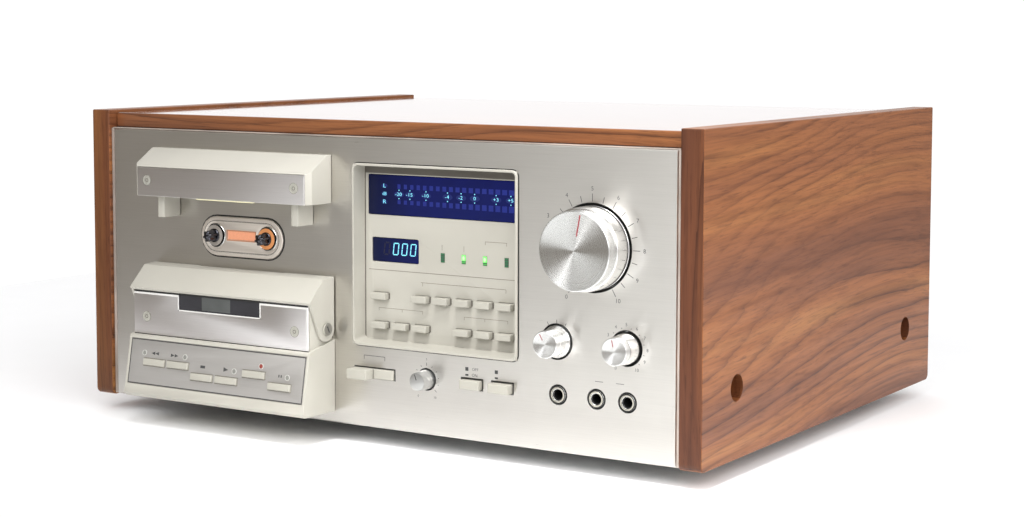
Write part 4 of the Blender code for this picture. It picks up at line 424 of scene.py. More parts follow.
def rounded(u0, u1, v0, v1, radius):
    points = []
    for u, v, start in ((u1, v0, -90), (u1, v1, 0), (u0, v1, 90), (u0, v0, 180)):
        centre = (u + (radius if u == u0 else -radius), v + (radius if v == v0 else -radius))
        for a in arc(math.radians(start), math.pi / 2, 6):
            points.append((centre[0] + radius * math.cos(a), centre[1] + radius * math.sin(a)))
    return points


def band(outer, inner):
    """The quads between two outlines of as many points."""
    count = len(outer)
    return [[outer[i], outer[(i + 1) % count], inner[(i + 1) % count], inner[i]] for i in range(count)]


def dial(centre, degrees, reach):
    """The point at an angle and reach from a dial's centre, clockwise from its top."""
    a = math.radians(degrees)
    return centre[0] + reach * math.sin(a), centre[1] + reach * math.cos(a)


def tick(centre, degrees, inner, outer, width):
    """A line on a dial."""
    side = dial((0, 0), degrees + 90, width / 2)
    near, far = dial(centre, degrees, inner), dial(centre, degrees, outer)
    return [
        (near[0] - side[0], near[1] - side[1]),
        (near[0] + side[0], near[1] + side[1]),
        (far[0] + side[0], far[1] + side[1]),
        (far[0] - side[0], far[1] - side[1]),
    ]


def digit(x, wide, tall, stroke):
    """The lit outline of a slanted seven-segment nought."""
    half, high = wide / 2, tall / 2
    bars = []
    for end in (-1, 1):
        bars.append([
            (-half + stroke * 0.6, end * high),
            (half - stroke * 0.6, end * high),
            (half - stroke * 1.3, end * (high - stroke)),
            (-half + stroke * 1.3, end * (high - stroke)),
        ])
        for part in (-1, 1):
            near, far = part * stroke * 0.25, part * (high - stroke * 0.6)
            bars.append([
                (end * half, near),
                (end * half, far),
                (end * (half - stroke), far - part * stroke * 0.6),
                (end * (half - stroke), near),
            ])
    return [[(x + u + DIGIT_LEAN * v, DIGIT_Z + v) for u, v in bar] for bar in bars]


# Meshes


def obj(name, mesh, material):
    made = bpy.data.objects.new(name, mesh)
    bpy.context.scene.collection.objects.link(made)
    mesh.materials.clear()
    mesh.materials.append(materials[material])
    return made


def poured(name, shape, material):
    """A piece from a bmesh."""
    mesh = bpy.data.meshes.new(name)
    shape.to_mesh(mesh)
    shape.free()
    return obj(name, mesh, material)


def smooth(piece, angle=SMOOTH):
    piece.data.shade_smooth()
    piece.data.set_sharp_from_angle(angle=angle)
    return piece


def loft(name, rings, material, looped=False):
    shape = bmesh.new()
    rows = [[shape.verts.new(point) for point in ring] for ring in rings]
    following = rows[1:] + rows[:1] if looped else rows[1:]
    for near, far in zip(rows, following):
        for i in range(len(near)):
            j = (i + 1) % len(near)
            shape.faces.new((near[i], near[j], far[j], far[i]))
    if not looped:
        shape.faces.new(rows[0])
        shape.faces.new(rows[-1])
    bmesh.ops.recalc_face_normals(shape, faces=shape.faces)
    return smooth(poured(name, shape, material))


def turned(name, profile, centre, material, steps=96, looped=True):
    """A body turned about a line along Y, from (radius, p) points; a looped profile leaves a hole."""
    x, z = centre
    rings = [[(x + r * math.cos(a), out(p), z + r * math.sin(a)) for a in circle(steps)] for r, p in profile]
    return loft(name, rings, material, looped)


def boxes(name, parts, material):
    """One piece of several small bars: (centre, size) or (centre, size, turn)."""
    shape = bmesh.new()
    for centre, size, *turn in parts:
        made = bmesh.ops.create_cube(shape, size=1.0)["verts"]
        turn = turn[0] if turn else Matrix.Identity(4)
        matrix = Matrix.Translation(centre) @ turn @ Matrix.Diagonal((*size, 1))
        bmesh.ops.transform(shape, matrix=matrix, verts=made)
    return poured(name, shape, material)


def bevelled(piece, width):
    edge = piece.modifiers.new("edges", "BEVEL")
    edge.width = width
    edge.segments = 3
    edge.limit_method = "ANGLE"
    return piece


def dress(node, material):
    piece = nodes[node]
    piece.data.materials.clear()
    piece.data.materials.append(materials[material])


def show(piece, node):
    """Puts a finer piece in a CAD node's place."""
    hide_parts(node)
    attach(piece, nodes[node]["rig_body"])


def refine(node, material, width):
    """Shows a CAD node with rounded edges."""
    source = nodes[node]
    copy = bpy.data.objects.new(node + "_source", source.data.copy())
    bpy.context.scene.collection.objects.link(copy)
    shape = bmesh.new()
    shape.from_mesh(copy.data)
    bmesh.ops.remove_doubles(shape, verts=shape.verts, dist=1e-6)
    bmesh.ops.dissolve_limit(shape, angle_limit=math.radians(0.5), verts=shape.verts, edges=shape.edges)
    shape.to_mesh(copy.data)
    shape.free()
    copy.data.normals_split_custom_set([(0, 0, 0)] * len(copy.data.loops))
    bevelled(copy, width)
    graph = bpy.context.evaluated_depsgraph_get()
    made = obj(node + "_fine", bpy.data.meshes.new_from_object(copy.evaluated_get(graph)), material)
    bpy.data.objects.remove(copy)
    show(smooth(made), node)


def on(body, *pieces):
    for piece in pieces:
        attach(piece, body)


def upright_at(p):
    return lambda u, v, w: (u, out(p + w), v)


def on_slope(u, v, w):
    far = SLOPE_HEAD[0] + (SLOPE_HEAD[1] - v) * math.tan(TILT)
    return (u, out(far + w * math.cos(TILT)), v + w * math.sin(TILT))


def marks(name, outlines, where, material, low=-0.00002, high=0.00005, body="case"):
    """Thin inlaid shapes on a surface."""
    shape = bmesh.new()
    for outline in outlines:
        under = [shape.verts.new(where(u, v, low)) for u, v in outline]
        over = [shape.verts.new(where(u, v, high)) for u, v in outline]
        shape.faces.new(under[::-1])
        shape.faces.new(over)
        for i in range(len(outline)):
            j = (i + 1) % len(outline)
            shape.faces.new((under[i], under[j], over[j], over[i]))
    bmesh.ops.recalc_face_normals(shape, faces=shape.faces)
    on(body, poured(name, shape, material))


def letters(text, centre, height, p=0.00001, wide=1.0):
    """A small mesh of plain figures standing on the plane p."""
    curve = bpy.data.curves.new("figures", "FONT")
    curve.body = text
    curve.size = height / 0.7
    curve.align_x = "CENTER"
    curve.align_y = "CENTER"
    curve.offset = -height * 0.012
    curve.extrude = THIN
    curve.resolution_u = 3
    made = bpy.data.objects.new("figures", curve)
    bpy.context.scene.collection.objects.link(made)
    graph = bpy.context.evaluated_depsgraph_get()
    graph.update()
    mesh = bpy.data.meshes.new_from_object(made.evaluated_get(graph))
    mesh.transform(Matrix.Diagonal((wide, 1, 1, 1)))
    x, z = centre
    mesh.transform(Matrix.Translation((x, out(p), z)) @ Matrix.Rotation(math.pi / 2, 4, "X"))
    bpy.data.objects.remove(made)
    return mesh


def gather(name, meshes, material):
    shape = bmesh.new()
    for mesh in meshes:
        shape.from_mesh(mesh)
    on("case", poured(name, shape, material))


def screw(name, x, p, z, radius):
    """A flat pale screw head with a hexagon line on it and a ring of painted shade round it, facing forward.
    """

    def profile(*points):
        return [(radius * reach, p + rise) for reach, rise in points]

    def ring(outer, inner, steps):
        return band(disc(x, z, radius * outer, steps), disc(x, z, radius * inner, steps))

    rim = profile((1, -0.0001), (1, 0.00012), (0.93, 0.0002), (0.84, 0.0001), (0.84, -0.0001))
    head = profile((0.84, -0.0001), (0.82, 0.00006), (0.74, 0.00012))
    on("case", turned(name + "_rim", rim, (x, z), "screw", 40))
    on("case", turned(name + "_face", head, (x, z), "screw", 40, looped=False))
    marks(name + "_socket", ring(0.42, 0.26, 6), upright_at(p + 0.00012), "taupe", -0.00005, 0.00002)
    # The ring just outside the head is painted shade
    marks(name + "_groove", ring(1.05, 0.96, 32), upright_at(p), "taupe", 0.0, 0.00014)


face = upright_at(0.0)
oval = upright_at(OVAL_P)
plate = upright_at(PLATE_P)
panel = upright_at(PANEL_P)
pane = upright_at(PANE_P)

# Finishes of the solids, most of them with rounded edges

DRESSED = {
    "walnut": ("side_panel_left", "side_panel_right"),
    "walnut_top": ("top_panel",),
    "steel": ("bottom_cover", "rear_panel", "transport_chassis", "drive_motor"),
    "face": ("faceplate",),
    "bright": ("capstan_left", "capstan_right"),
    "brass": ("motor_pulley",),
    "board": ("main_board",),
    "rubber": ("foot_front_left", "foot_front_right", "foot_rear_left", "foot_rear_right", "cord_gland"),
    "smoke": ("head_window",),
    "window": ("display_filter",),
}
for material, dressed in DRESSED.items():
    for node in dressed:
        dress(node, material)

for node, material, width, slot in (
    ("head_bridge", "bright", 0.0002, "bright_steel"),
    ("control_bracket", "bright", 0.0002, "bright_steel"),
    ("socket_block", "black", 0.0002, "black_plastic"),
    ("hood", "cream", 0.0005, "cream_plastic"),
    ("transport_housing", "cream", 0.0005, "cream_plastic"),
    ("head_cover", "cream", 0.0004, "cream_plastic"),
    ("display_bezel", "panel", 0.00025, "cream_plastic"),
    ("hood_plate", "plate", 0.0002, "plate_aluminium"),
    ("head_cover_plate", "plate", 0.0003, "plate_aluminium"),
    ("keypad_plate", "pad", 0.0002, "plate_aluminium"),
    ("spindle_escutcheon", "oval", 0.00025, "face_aluminium"),
):
    refine(node, material, width)
for node in nodes:
    if node.startswith(("key_", "button_", "monitor_", "switch_")):
        refine(node, "button", 0.0003)
for node in ("spindle_left", "spindle_right"):
    refine(node, "chrome", 0.0002)

seams = [((side * 0.21175, out(-0.0022), 0.1005), (0.0021, 0.0036, 0.178)) for side in (-1, 1)]
seams.append(((0, out(-0.0026), 0.18985), (0.4235, 0.0046, 0.0005)))
on("case", boxes("face_seams", seams, "seam"))

# Hood and head cover

for side, hand in SIDES:
    screw("hood_screw_" + hand, TX + side * 0.0598, 0.023, 0.1584, SCREW_RADIUS)
    screw("cover_screw_" + hand, TX + side * 0.0605, PLATE_P, 0.0703, SCREW_RADIUS)
    x = TX + side * 0.0746
    rings = []
    for radius, shift in ((0.0039, 0.0), (0.0039, 0.0002), (0.0035, 0.00035), (0.0031, 0.0002)):
        ring = [(PIVOT_P + radius * math.cos(a), PIVOT_Z + radius * math.sin(a)) for a in circle(40)]
        rings.append([(x + side * shift, out(p), z) for p, z in ring])
    on("case", loft("pivot_cap_" + hand, rings, "pivot"))
    place = (x + side * 0.0002, out(PIVOT_P), PIVOT_Z)
    slot = (place, (0.0001, 0.001, 0.0044), Matrix.Rotation(math.radians(25), 4, "X"))
    on("case", boxes("pivot_slot_" + hand, [slot], "ink"))
lamp = boxes("hood_lamp", [((-0.0995, out(0.0182), 0.1479), (0.046, 0.0026, 0.0012))], "lamp")
on("case", bevelled(lamp, 0.0003))
marks("window_patch", [rect(-0.1148, -0.0915, 0.0775, 0.0865)], upright_at(0.0238), "smoke_light")
# Painted highlights along the lit edges of the head cover plate and round its window
edges = [
    rect(PLATE_LEFT, -0.1339, 0.0847, 0.0859), rect(-0.0677, -0.0308, 0.0847, 0.0859),
    rect(-0.1347, -0.1339, 0.0759, 0.0847), rect(-0.0677, -0.0669, 0.0759, 0.0847),
    rect(-0.1347, -0.0669, 0.0759, 0.0766), rect(-0.0308, PLATE_RIGHT, 0.0592, 0.0859),
]
marks("cover_edges", edges, plate, "painted_highlight", 0.0, 0.00004)
# Painted shadow in the gaps above and below the head cover plate
marks("cover_gap", [rect(PLATE_LEFT, PLATE_RIGHT, 0.086, 0.0869)], plate, "black", 0.0, 0.00005)
marks("cover_foot", [rect(PLATE_LEFT, PLATE_RIGHT, 0.0583, 0.059)], plate, "black", -0.0003, 0.00002)

# Oval plate, its window and spindles

# A black ring of painted shadow round the oval plate on the face, a bright ring of painted highlight on the
# edge of the plate's inset middle, and a ring of painted shade just inside that
for name, outer, inner, where, material, high in (
    ("oval_outline", (0.0345, 0.0137), (0.0336, 0.0128), face, "black", 0.0001),
    ("oval_step", (0.0311, 0.0103), (0.0306, 0.0098), oval, "bright", 0.0002),
    ("oval_step_shade", (0.0306, 0.0098), (0.03035, 0.00955), oval, "ink_soft", 0.00006),
):
    marks(name, band(stadium(TX, OVAL_Z, *outer), stadium(TX, OVAL_Z, *inner)), where, material, 0.0, high)
SPINDLE_RIM = [
    (0.0078, 0.001), (0.0078, 0.0013), (0.0075, 0.0015), (0.0072, 0.0013), (0.0071, 0.0007), (0.0071, 0.0003),
]
SPINDLE_COLLAR = [(0.0092, 0.0011), (0.0092, 0.00145), (0.0077, 0.0012), (0.0077, 0.0004), (0.0086, 0.0004)]
SPINDLE_SEAT = [(0.0067, 0.0025), (0.0066, 0.00275), (0.0044, 0.00275), (0.0044, 0.0025)]
SPINDLE_BASE = [(0.0044, 0.0026), (0.0043, 0.0034), (0.0039, 0.0037), (0.003, 0.0037), (0.003, 0.0026)]
# The right spindle's seat glows with painted orange lamp light; the left one is plain grey
for side, hand in SIDES:
    hub = (TX + side * HUB_SPREAD, HUB_Z)
    for name, profile, material, steps, body in (
        ("spindle_rim_", SPINDLE_RIM, "bright", 64, "case"),
        ("spindle_collar_", SPINDLE_COLLAR, "oval", 64, "case"),
        ("spindle_seat_", SPINDLE_SEAT, "orange_painted_light" if side > 0 else "well", 64, "spindle_" + hand),
        ("spindle_base_", SPINDLE_BASE, "chrome", 48, "spindle_" + hand),
    ):
        on(body, turned(name + hand, profile, hub, material, steps))
marks("reel_glow", [rect(TX - 0.0113, TX + 0.0113, 0.1211, 0.1264)], upright_at(0.00075), "orange")
reel_frame = band(block(TX, 0.12375, 0.0121, 0.00345), block(TX, 0.12375, 0.0114, 0.00275))
marks("reel_frame", reel_frame, oval, "orange_frame", 0.0, 0.00008)

# Keypad

KEYS = {
    "rewind": (-0.151, 0.0416), "forward": (-0.1311, 0.0416), "stop": (-0.1105, 0.0359),
    "play": (-0.0905, 0.0359), "record": (-0.0689, 0.0416), "pause": (-0.0479, 0.0359),
}
contour = band(block(TX, 0.0415, 0.0712, 0.0141), block(TX, 0.0415, 0.0707, 0.0136))
marks("keypad_contour", contour, on_slope, "ink")
symbols = [
    arrow(-0.1527, 0.0474, 0.003, -1), arrow(-0.1495, 0.0474, 0.003, -1),
    arrow(-0.1363, 0.0474, 0.003), arrow(-0.1331, 0.0474, 0.003),
    rect(-0.1124, -0.1086, 0.0417, 0.0434), arrow(-0.0915, 0.0426, 0.0038),
    rect(-0.0495, -0.0487, 0.0418, 0.0434), rect(-0.0477, -0.0469, 0.0418, 0.0434),
]
marks("keypad_symbols", symbols, on_slope, "ink")
for number, (x, z, material) in enumerate((
    (-0.16, 0.0472, "lamp_grey"), (-0.1258, 0.0472, "lamp_grey"), (-0.0847, 0.0422, "lamp_grey"),
    (-0.0637, 0.0472, "lamp_red"), (-0.0424, 0.0422, "lamp_grey"),
)):
    lens = disc(x, z, KEY_LAMP_RADIUS)
    rim = band(disc(x, z, KEY_LAMP_RIM), lens)
    marks(f"key_lamp_ring_{number}", rim, on_slope, "white_ink", 0.0, 0.0003)
    marks(f"key_lamp_{number}", [lens], on_slope, material, 0.0, 0.0002)
for name, (x, z) in KEYS.items():
    gap = band(block(x, z, *KEY_GAP_OUTER), block(x, z, *KEY_GAP_INNER))
    marks(f"key_{name}_shadow", gap, on_slope, "ink_soft", 0.0, THIN)

# Display

# A dark ring of painted shadow in the gap round the display's bezel
outer = rounded(-0.01365, 0.10705, 0.0612, 0.17455, 0.0045)
inner = rounded(-0.013, 0.1064, 0.06185, 0.1739, 0.0039)
marks("bezel_outline", band(outer, inner), face, "black", 0.0, 0.00006)
# A dark sheet under the bezel's top wall and a taupe strip on the panel below it are painted shade
on("case", boxes("bezel_top_lining", [((0.0467, out(-0.0044), 0.17225), (0.1155, 0.0098, 0.0003))], "taupe"))
marks("bezel_shade", [rect(-0.0108, 0.1043, 0.1674, 0.1723)], panel, "taupe", 0.0, THIN)
shades = []
for node in nodes:
    if node.startswith("button_"):
        corners = [nodes[node].matrix_world @ v.co for v in nodes[node].data.vertices]
        front = min(v.y for v in corners) + 0.001
        corners = [v for v in corners if v.y < front]
        right, low, top = max(v.x for v in corners), min(v.z for v in corners), max(v.z for v in corners)
        shades.append(rect(right + 0.0001, right + 0.0009, low + 0.0003, top - 0.0002))
marks("button_shades", shades, panel, "taupe", 0.0, 0.0003)
# Painted shade in the inner corner between the bezel's left wall and the panel
marks("bezel_seam", [rect(-0.0115, -0.0107, 0.0645, 0.172)], panel, "taupe")
marks("display_rule", [rect(-0.0085, 0.0995, 0.1077, 0.1081)], panel, "ink_soft")
rules = [
    rect(0.0304, 0.0917, 0.1018, 0.1021), rect(0.0915, 0.0918, 0.0997, 0.1018),
    rect(0.0316, 0.0319, 0.0997, 0.1018),
    rect(-0.0011, 0.0319, 0.0842, 0.0845), rect(0.0316, 0.0319, 0.0825, 0.0842),
    rect(-0.0011, -0.0008, 0.0825, 0.0842), rect(0.0163, 0.0166, 0.0825, 0.0842),
    rect(0.0619, 0.0931, 0.0832, 0.0835), rect(0.0619, 0.0622, 0.0815, 0.0832),
    rect(0.0928, 0.0931, 0.0815, 0.0832), rect(0.0766, 0.0769, 0.0815, 0.0832),
    rect(0.0769, 0.0923, 0.1295, 0.1298), rect(0.0769, 0.0772, 0.1277, 0.1295),
    rect(0.092, 0.0923, 0.1277, 0.1295),
    rect(0.0459, 0.0462, 0.1225, 0.126), rect(0.0617, 0.062, 0.1225, 0.126),
]
marks("display_brackets", rules, panel, "ink_soft")


def lamp_part(name, number, x, spans, material, high):
    outlines = [rect(x - LAMP_HALF, x + LAMP_HALF, foot, head) for foot, head in spans]
    marks(f"lamp_{name}_{number}", outlines, panel, material, 0.0, high)


for number, lit in enumerate((False, True, True, False)):
    x = COLUMN_X + COLUMN_PITCH * (number + 3)
    lens = rect(x - LAMP_HALF, x + LAMP_HALF, LAMP_LOW, LAMP_HIGH)
    edge = rect(x - LAMP_HALF - 0.0002, x + LAMP_HALF + 0.0002, LAMP_LOW - 0.0002, LAMP_HIGH + 0.0002)
    marks(f"lamp_frame_{number}", band(edge, lens), panel, "ink_soft")
    if lit:
        lamp_part("top", number, x, [(LAMP_MIDDLE, LAMP_HIGH)], "green", 0.0004)
        marks(f"lamp_core_{number}", [disc(x, 0.1189, 0.0009, 16, 1.4)], panel, "green_core", 0.0, 0.00045)
        lamp_part("base", number, x, [(LAMP_LOW, LAMP_MIDDLE)], "green_mid", 0.0003)
        lamp_part("stripes", number, x, [(z, z + 0.0005) for z in (0.1155, 0.11645)], "green_dark", 0.0004)
    else:
        lamp_part("dark", number, x, [(LAMP_LOW, LAMP_HIGH)], "green_dark", 0.0003)
        lamp_part("lines", number, x, [(z, z + 0.0004) for z in (0.1165, 0.1179, 0.1193)], "ink", 0.00035)

marks("meter_field", [rect(-0.0087, 0.1021, 0.1421, 0.1665)], pane, "meter_blue", 0.0, THIN)
segments = []
for i in range(SEGMENTS):
    x = SEGMENT_X + SEGMENT_PITCH * i
    wide = 0.0011 + 0.00004 * i
    segments.append(rect(x - wide, x + wide, 0.1583 - 0.00002 * i, 0.1611))
    segments.append(rect(x - wide, x + wide, 0.149 - 0.00008 * i, 0.1514))
marks("meter_segments", segments, pane, "blue", THIN, 0.00006)
# Figure, the place of its dots, and how far its middle stands left of them
SCALE = (
    ("-20", 0.0141, 0.0004), ("-15", 0.0222, 0.0004), ("-10", 0.0341, 0.0004), ("-4", 0.0498, 0.0004),
    ("-2", 0.0596, 0.0004), ("0", 0.0693, 0.0), ("+3", 0.0845, 0.0002), ("+5", 0.0948, 0.0002),
)
LEGEND = (("L", 0.1598, 0.0024, 1.25), ("dB", METER_Z, 0.0021, 1.0), ("R", 0.15, 0.0024, 1.25))
halos = [disc(METER_X, z, 0.0022, 20, 0.62) for _, z, _, _ in LEGEND]
halos += [disc(x, METER_Z, 0.0036, 20, 0.5) for _, x, _ in SCALE]
marks("meter_halo", halos, pane, "halo", THIN, 0.00005)
dots = [disc(x, z, 0.00034, 12) for _, x, _ in SCALE for z in (0.15745, 0.15235)]
marks("meter_dots", dots, pane, "cyan", THIN, 0.0001)
glyphs = [letters(text, (x - left, METER_Z), 0.0021, GLYPH_P, 1.3) for text, x, left in SCALE]
glyphs += [letters(text, (METER_X, z), high, GLYPH_P, wide) for text, z, high, wide in LEGEND]
gather("meter_figures", glyphs, "cyan")

digits = []
for x in (0.0118, 0.0182, 0.0246):
    digits += digit(x, 0.0042, 0.0076, 0.0006)
marks("counter_digits", digits, pane, "cyan", THIN, 0.00012)
marks("counter_ghost", digit(0.005, 0.0047, 0.0083, 0.00105), pane, "ghost", THIN, 0.0001)
marks("counter_field", [rect(-0.0057, 0.0286, 0.1132, 0.1277)], pane, "counter_blue", 0.0, THIN)

# Lettering on the faceplate

lines = [
    rect(-0.0052, 0.0107, 0.0556, 0.0559), rect(-0.0052, -0.0049, 0.0533, 0.0556),
    rect(0.0104, 0.0107, 0.0533, 0.0556),
    rect(0.1583, 0.1635, 0.0552, 0.0555), rect(0.172, 0.1772, 0.0552, 0.0555),
    rect(0.0695, 0.0717, 0.0531, 0.0553), rect(0.0695, 0.0717, 0.0501, 0.0512),
    rect(0.0903, 0.0925, 0.0531, 0.0553), rect(0.0903, 0.0925, 0.0501, 0.0512),
]
for degrees in range(-DIAL_END, DIAL_END + 1, 15):
    lines.append(tick(INPUT, degrees, 0.0265, 0.0302 if degrees % 30 else 0.031, 0.00035))
for degrees in (-30, 0, 30):
    lines.append(tick(SELECTOR, degrees, 0.0108, 0.0128, 0.0003))
for degrees in range(15 - DIAL_END, DIAL_END, 30):
    lines.append(tick(OUTPUT, degrees, 0.0113, 0.0121, 0.0003))
for degrees in range(-TRIMMER_END, TRIMMER_END + 1, 27):
    lines.append(tick(TRIMMER, degrees, 0.0083, 0.0092 if degrees % TRIMMER_END else 0.0102, 0.0003))
marks("face_lines", lines, face, "ink", 0.0, THIN)

# Painted shadow along the top and right of the holes of the monitor keys and switches
gaps = []
for left, right, foot, head in (
    (-0.0125, 0.0178, 0.0415, 0.0483), (0.0663, 0.0815, 0.0417, 0.0485), (0.08775, 0.1029, 0.0417, 0.0485),
):
    gaps += [rect(left, right + 0.0007, head, head + 0.0006), rect(right, right + 0.0007, foot, head)]
marks("key_gaps", gaps, face, "black", 0.0, 0.00006)

figures = []
for number in range(11):
    degrees = 30 * number - DIAL_END
    figures.append(letters(str(number), dial(INPUT, degrees, 0.0338), 0.0025))
    figures.append(letters(str(number), dial(OUTPUT, degrees, 0.0136), 0.0019))
figures.append(letters("OFF", (0.0765, 0.0542), 0.0018))
figures.append(letters("ON", (0.0761, 0.0507), 0.0018))
for text, degrees in (("0", -DIAL_END), ("5", 0), ("10", DIAL_END)):
    figures.append(letters(text, dial(TRIMMER, degrees, 0.0122), 0.0014))
gather("face_figures", figures, "ink")

# Knobs


def lining(name, centre, hole, piece):
    """The dark wall and floor of a hole in the faceplate, round a control."""
    wall, inner, far = hole - 0.00002, hole - 0.0002, piece + 0.0003
    ends = [(wall, -0.0001), (inner, -0.0001), (inner, -0.004)]
    profile = ends + [(far, -0.004), (far, -0.0043), (wall, -0.0043)]
    on("case", turned(name, profile, centre, "black"))


lining("input_lining", INPUT, 0.0259, 0.0242)
lining("selector_lining", SELECTOR, 0.0107, 0.0094)
lining("output_lining", OUTPUT, 0.0105, 0.0092)
lining("trimmer_lining", TRIMMER, 0.0069, 0.006)


def pointer(name, centre, degrees, inner, outer, width, p, material, body):
    marks(name, [tick(centre, degrees, inner, outer, width)], upright_at(p), material, -0.0003, 0.00004, body)


def knob_profile(radius, back, front, edge, shaft_back):
    """A disc with rounded edges on a shaft, and a very shallow dish in its front."""
    points = [(0.003, shaft_back), (0.003, back), (radius - edge, back)]
    for a in arc(0.0, math.pi / 2, 4):
        points.append((radius - edge + edge * math.sin(a), back + edge - edge * math.cos(a)))
    for a in arc(0.0, math.pi / 2, 6):
        points.append((radius - edge + edge * math.cos(a), front - edge + edge * math.sin(a)))
    return points + [(radius - edge * 2.2, front - 0.00012), (0.0004, front - 0.00012)]


knob = knob_profile(0.0229, 0.01365, 0.0209, 0.0006, -0.026)
show(turned("input_disc", knob, INPUT, "knob", 160, looped=False), "input_knob")
ring = [
    (0.0055, -0.018), (0.0085, -0.018), (0.0085, -0.003), (0.0242, -0.003), (0.0242, 0.0002),
    (0.0238, 0.0005), (0.0238, 0.0009), (0.0242, 0.0012), (0.0242, 0.0118), (0.02405, 0.0126),
    (0.0236, 0.0132), (0.0228, 0.01335), (0.0055, 0.01335),
]
show(turned("input_rim", ring, INPUT, "rim", 160), "input_ring")
pointer("input_line", INPUT, 11, 0.0087, 0.021, 0.00075, 0.0208, "red", "input_knob")
x, z = dial(INPUT, INPUT_INDEX, 0.02413)
index = ((x, out(0.0105), z), (0.0003, 0.0042, 0.0003), Matrix.Rotation(math.radians(INPUT_INDEX), 4, "Y"))
on("input_ring", boxes("input_rim_line", [index], "ink_soft"))

knob = [
    (0.003, -0.022), (0.003, -0.003), (0.0094, -0.003), (0.0094, 0.0009), (0.0092, 0.0012),
    (0.0084, 0.0032), (0.0081, 0.0042), (0.008, 0.0132), (0.00785, 0.01355), (0.0075, 0.0137),
    (0.0069, 0.0136), (0.0003, 0.0136),
]
show(turned("selector_fine", knob, SELECTOR, "knob_small", looped=False), "selector_knob")
pointer("selector_line", SELECTOR, -30, 0.0028, 0.0068, 0.0005, 0.0136, "red", "selector_knob")

knob = knob_profile(0.008, 0.00965, 0.0146, 0.0004, -0.022)
show(turned("output_fine", knob, OUTPUT, "knob_small", looped=False), "output_knob")
ring = [
    (0.0036, -0.014), (0.0056, -0.014), (0.0056, -0.003), (0.0092, -0.003), (0.0091, 0.0006), (0.0084, 0.009),
    (0.0082, 0.00935), (0.0036, 0.00935),
]
show(turned("output_rim", ring, OUTPUT, "rim"), "output_ring")
pointer("output_line", OUTPUT, -12, 0.0028, 0.0068, 0.0005, 0.0145, "red", "output_knob")

flutes = [(a, 0.006 if step % 2 else 0.00572) for step, a in enumerate(circle(96))]
rows = []
for shrink, p in (
    (0.5, -0.009), (0.5, -0.003), (1.0, -0.003), (1.0, 0.0012), (0.93, 0.0098), (0.88, 0.0104), (0.8, 0.0105),
):
    row = [(shrink * r * math.cos(a), shrink * r * math.sin(a)) for a, r in flutes]
    rows.append([(TRIMMER[0] + u, out(p), TRIMMER[1] + v) for u, v in row])
show(smooth(loft("trimmer_fine", rows, "trimmer"), math.radians(20)), "trimmer_knob")
pointer("trimmer_line", TRIMMER, -20, 0.001, 0.0046, 0.0006, 0.0105, "ink", "trimmer_knob")

# Jacks

JACK_PARTS = (
    ("collar", [(0.0049, 0.0002), (0.00485, 0.0006), (0.0045, 0.0007), (0.0044, 0.0001)], "black", 64),
    ("bush", [(0.0045, 0.0002), (0.0045, 0.0007), (0.0043, 0.0009), (0.0037, 0.0009), (0.00345, 0.0001),
              (0.0034, -0.002)], "bush", 64),
    ("liner", [(0.00334, -0.0006), (0.00334, -0.0285), (0.0029, -0.0285), (0.0029, -0.0006)], "black", 48),
    # Painted shade: a black ring behind the faceplate's hole, in the gap round each bush
    ("gap", [(0.0061, -0.004), (0.0061, -0.0012), (0.00505, -0.0012), (0.00505, -0.004)], "black", 48),
)
for number, centre in enumerate(JACKS):
    for name, profile, material, steps in JACK_PARTS:
        on("case", turned(f"jack_{name}_{number}", profile, centre, material, steps))

# Rear

sleeve = [(0.0042, -0.3426), (0.0042, -0.3487), (0.0038, -0.3489), (0.0036, -0.3486), (0.0036, -0.3426)]
for row in (0, 2):
    for column in (0, 2):
        centre = (0.12 + column * 0.01, 0.076 + row * 0.009)
        on("case", turned(f"socket_sleeve_{row}_{column}", sleeve, centre, "bright", 48))

# Floor, light and camera

floor_mesh = bpy.data.meshes.new("floor")
corners = [(-0.75, -0.29, 0), (0.75, -0.29, 0), (0.75, 0.75, 0), (-0.75, 0.75, 0)]
floor_mesh.from_pydata(corners, [], [range(4)])
floor = bpy.data.objects.new("floor", floor_mesh)
bpy.context.scene.collection.objects.link(floor)
floor.data.materials.append(satin("floor_white", (0.95, 0.95, 0.95), 0.6, 0.01, 0.0, 300.0))

world = bpy.data.worlds.new("studio")
bpy.context.scene.world = world
world.use_nodes = True
sky = Nodes(world.node_tree)


def between(value, low, high):
    """Goes smoothly from 0 at one angle in degrees to 1 at the other."""
    return sky.span(value, math.radians(low), math.radians(high), interpolation_type="SMOOTHSTEP")


def times(a, b):
    return sky.math("MULTIPLY", a, b)


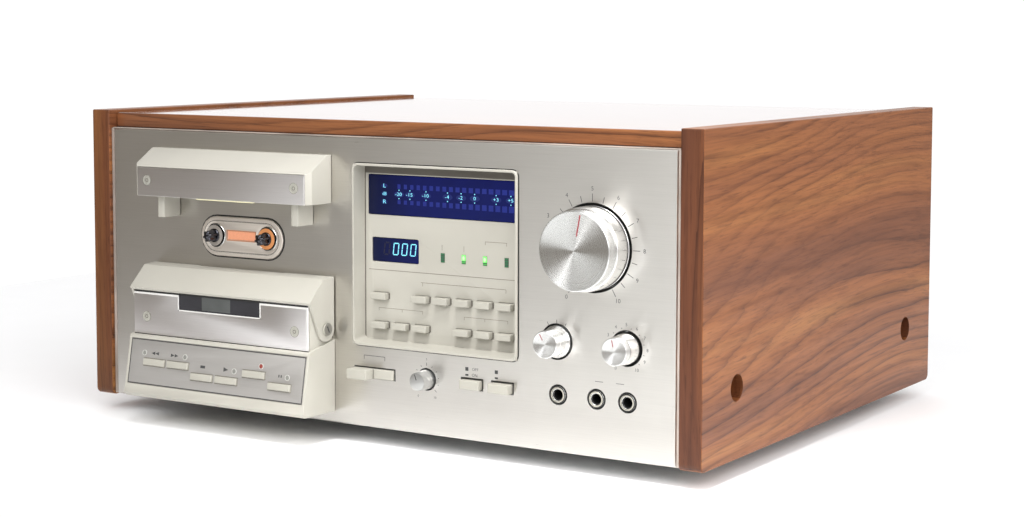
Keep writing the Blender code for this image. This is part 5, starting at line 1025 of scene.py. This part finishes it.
# The studio is white, dimmer overhead and low down behind on the right. In front it is open: dim at the
# deck's height and to the left, with a bright band low down and a lighter part high up
way = sky.node("SeparateXYZ", {0: sky.node("TexCoord").outputs["Generated"]})
around = sky.math("ARCTAN2", way.outputs["X"], times(way.outputs["Y"], -1.0))
height = sky.math("ARCSINE", way.outputs["Z"])
low_band = sky.mix(between(height, -15, -24), (2.5, 2.55, 2.55), (1.35, 1.37, 1.37))
below = times(between(height, -8.5, -14), between(around, -42, -31))
above = times(between(height, 12, 30), between(around, -42, -26))
open_front = sky.mix(below, (0.26, 0.235, 0.205), low_band)
open_front = sky.mix(above, open_front, (0.64, 0.67, 0.73))
in_front = times(times(between(around, -105, -85), between(around, 45, 25)), between(height, 66, 46))
behind = times(between(around, 95, 120), between(height, 30, 8))
shade = sky.mix(between(height, 45, 75), (1.12, 1.12, 1.13), (0.75, 0.75, 0.75))
shade = sky.mix(behind, shade, (0.4, 0.39, 0.38))
shade = sky.mix(in_front, shade, open_front)
# The camera itself sees plain white behind the deck
seen = sky.mix(sky.node("LightPath").outputs["Is Camera Ray"], shade, (1.05, 1.05, 1.05))
background = sky.tree.nodes["Background"]
sky.feed(background.inputs["Color"], seen)
sky.feed(background.inputs["Strength"], 1.0)


def light(name, kind, place, target, power, **settings):
    data = bpy.data.lights.new(name, kind)
    data.energy = power
    for key, value in settings.items():
        setattr(data, key, value)
    made = bpy.data.objects.new(name, data)
    made.location = place
    made.rotation_euler = (Vector(target) - Vector(place)).to_track_quat("-Z", "Y").to_euler()
    bpy.context.scene.collection.objects.link(made)


light("key_light", "AREA", (0.05, -1.4, 1.0), (0, 0, 0.1), 13, shape="RECTANGLE", size=1.0, size_y=0.8)
spread = math.radians(38)
light("floor_light", "SPOT", (0.25, -0.66, 1.3), (0.2, -0.38, 0), 85, spot_size=spread, spot_blend=0.9,
      shadow_soft_size=0.15)
light("side_light", "AREA", (1.5, -0.6, 0.95), (0, 0, 0.1), 19, shape="RECTANGLE", size=1.6, size_y=1.3)

camera_data = bpy.data.cameras.new("camera")
camera = bpy.data.objects.new("camera", camera_data)
bpy.context.scene.collection.objects.link(camera)
camera.location = (0.7112, -1.1268, 0.2574)
azimuth, elevation, roll = math.radians(32.1887), math.radians(4.7502), math.radians(0.0847)
level = math.cos(elevation)
back = Vector((math.sin(azimuth) * level, -math.cos(azimuth) * level, math.sin(elevation)))
turn = (-back).to_track_quat("-Z", "Y").to_matrix().to_4x4() @ Matrix.Rotation(roll, 4, "Z")
camera.rotation_mode = "QUATERNION"
camera.rotation_quaternion = turn.to_quaternion()
camera_data.lens = 69.37
camera_data.sensor_width = 36
camera_data.shift_y = -0.0669
camera_data.clip_start = 0.01
bpy.context.scene.camera = camera
bpy.context.scene.view_settings.view_transform = "Standard"
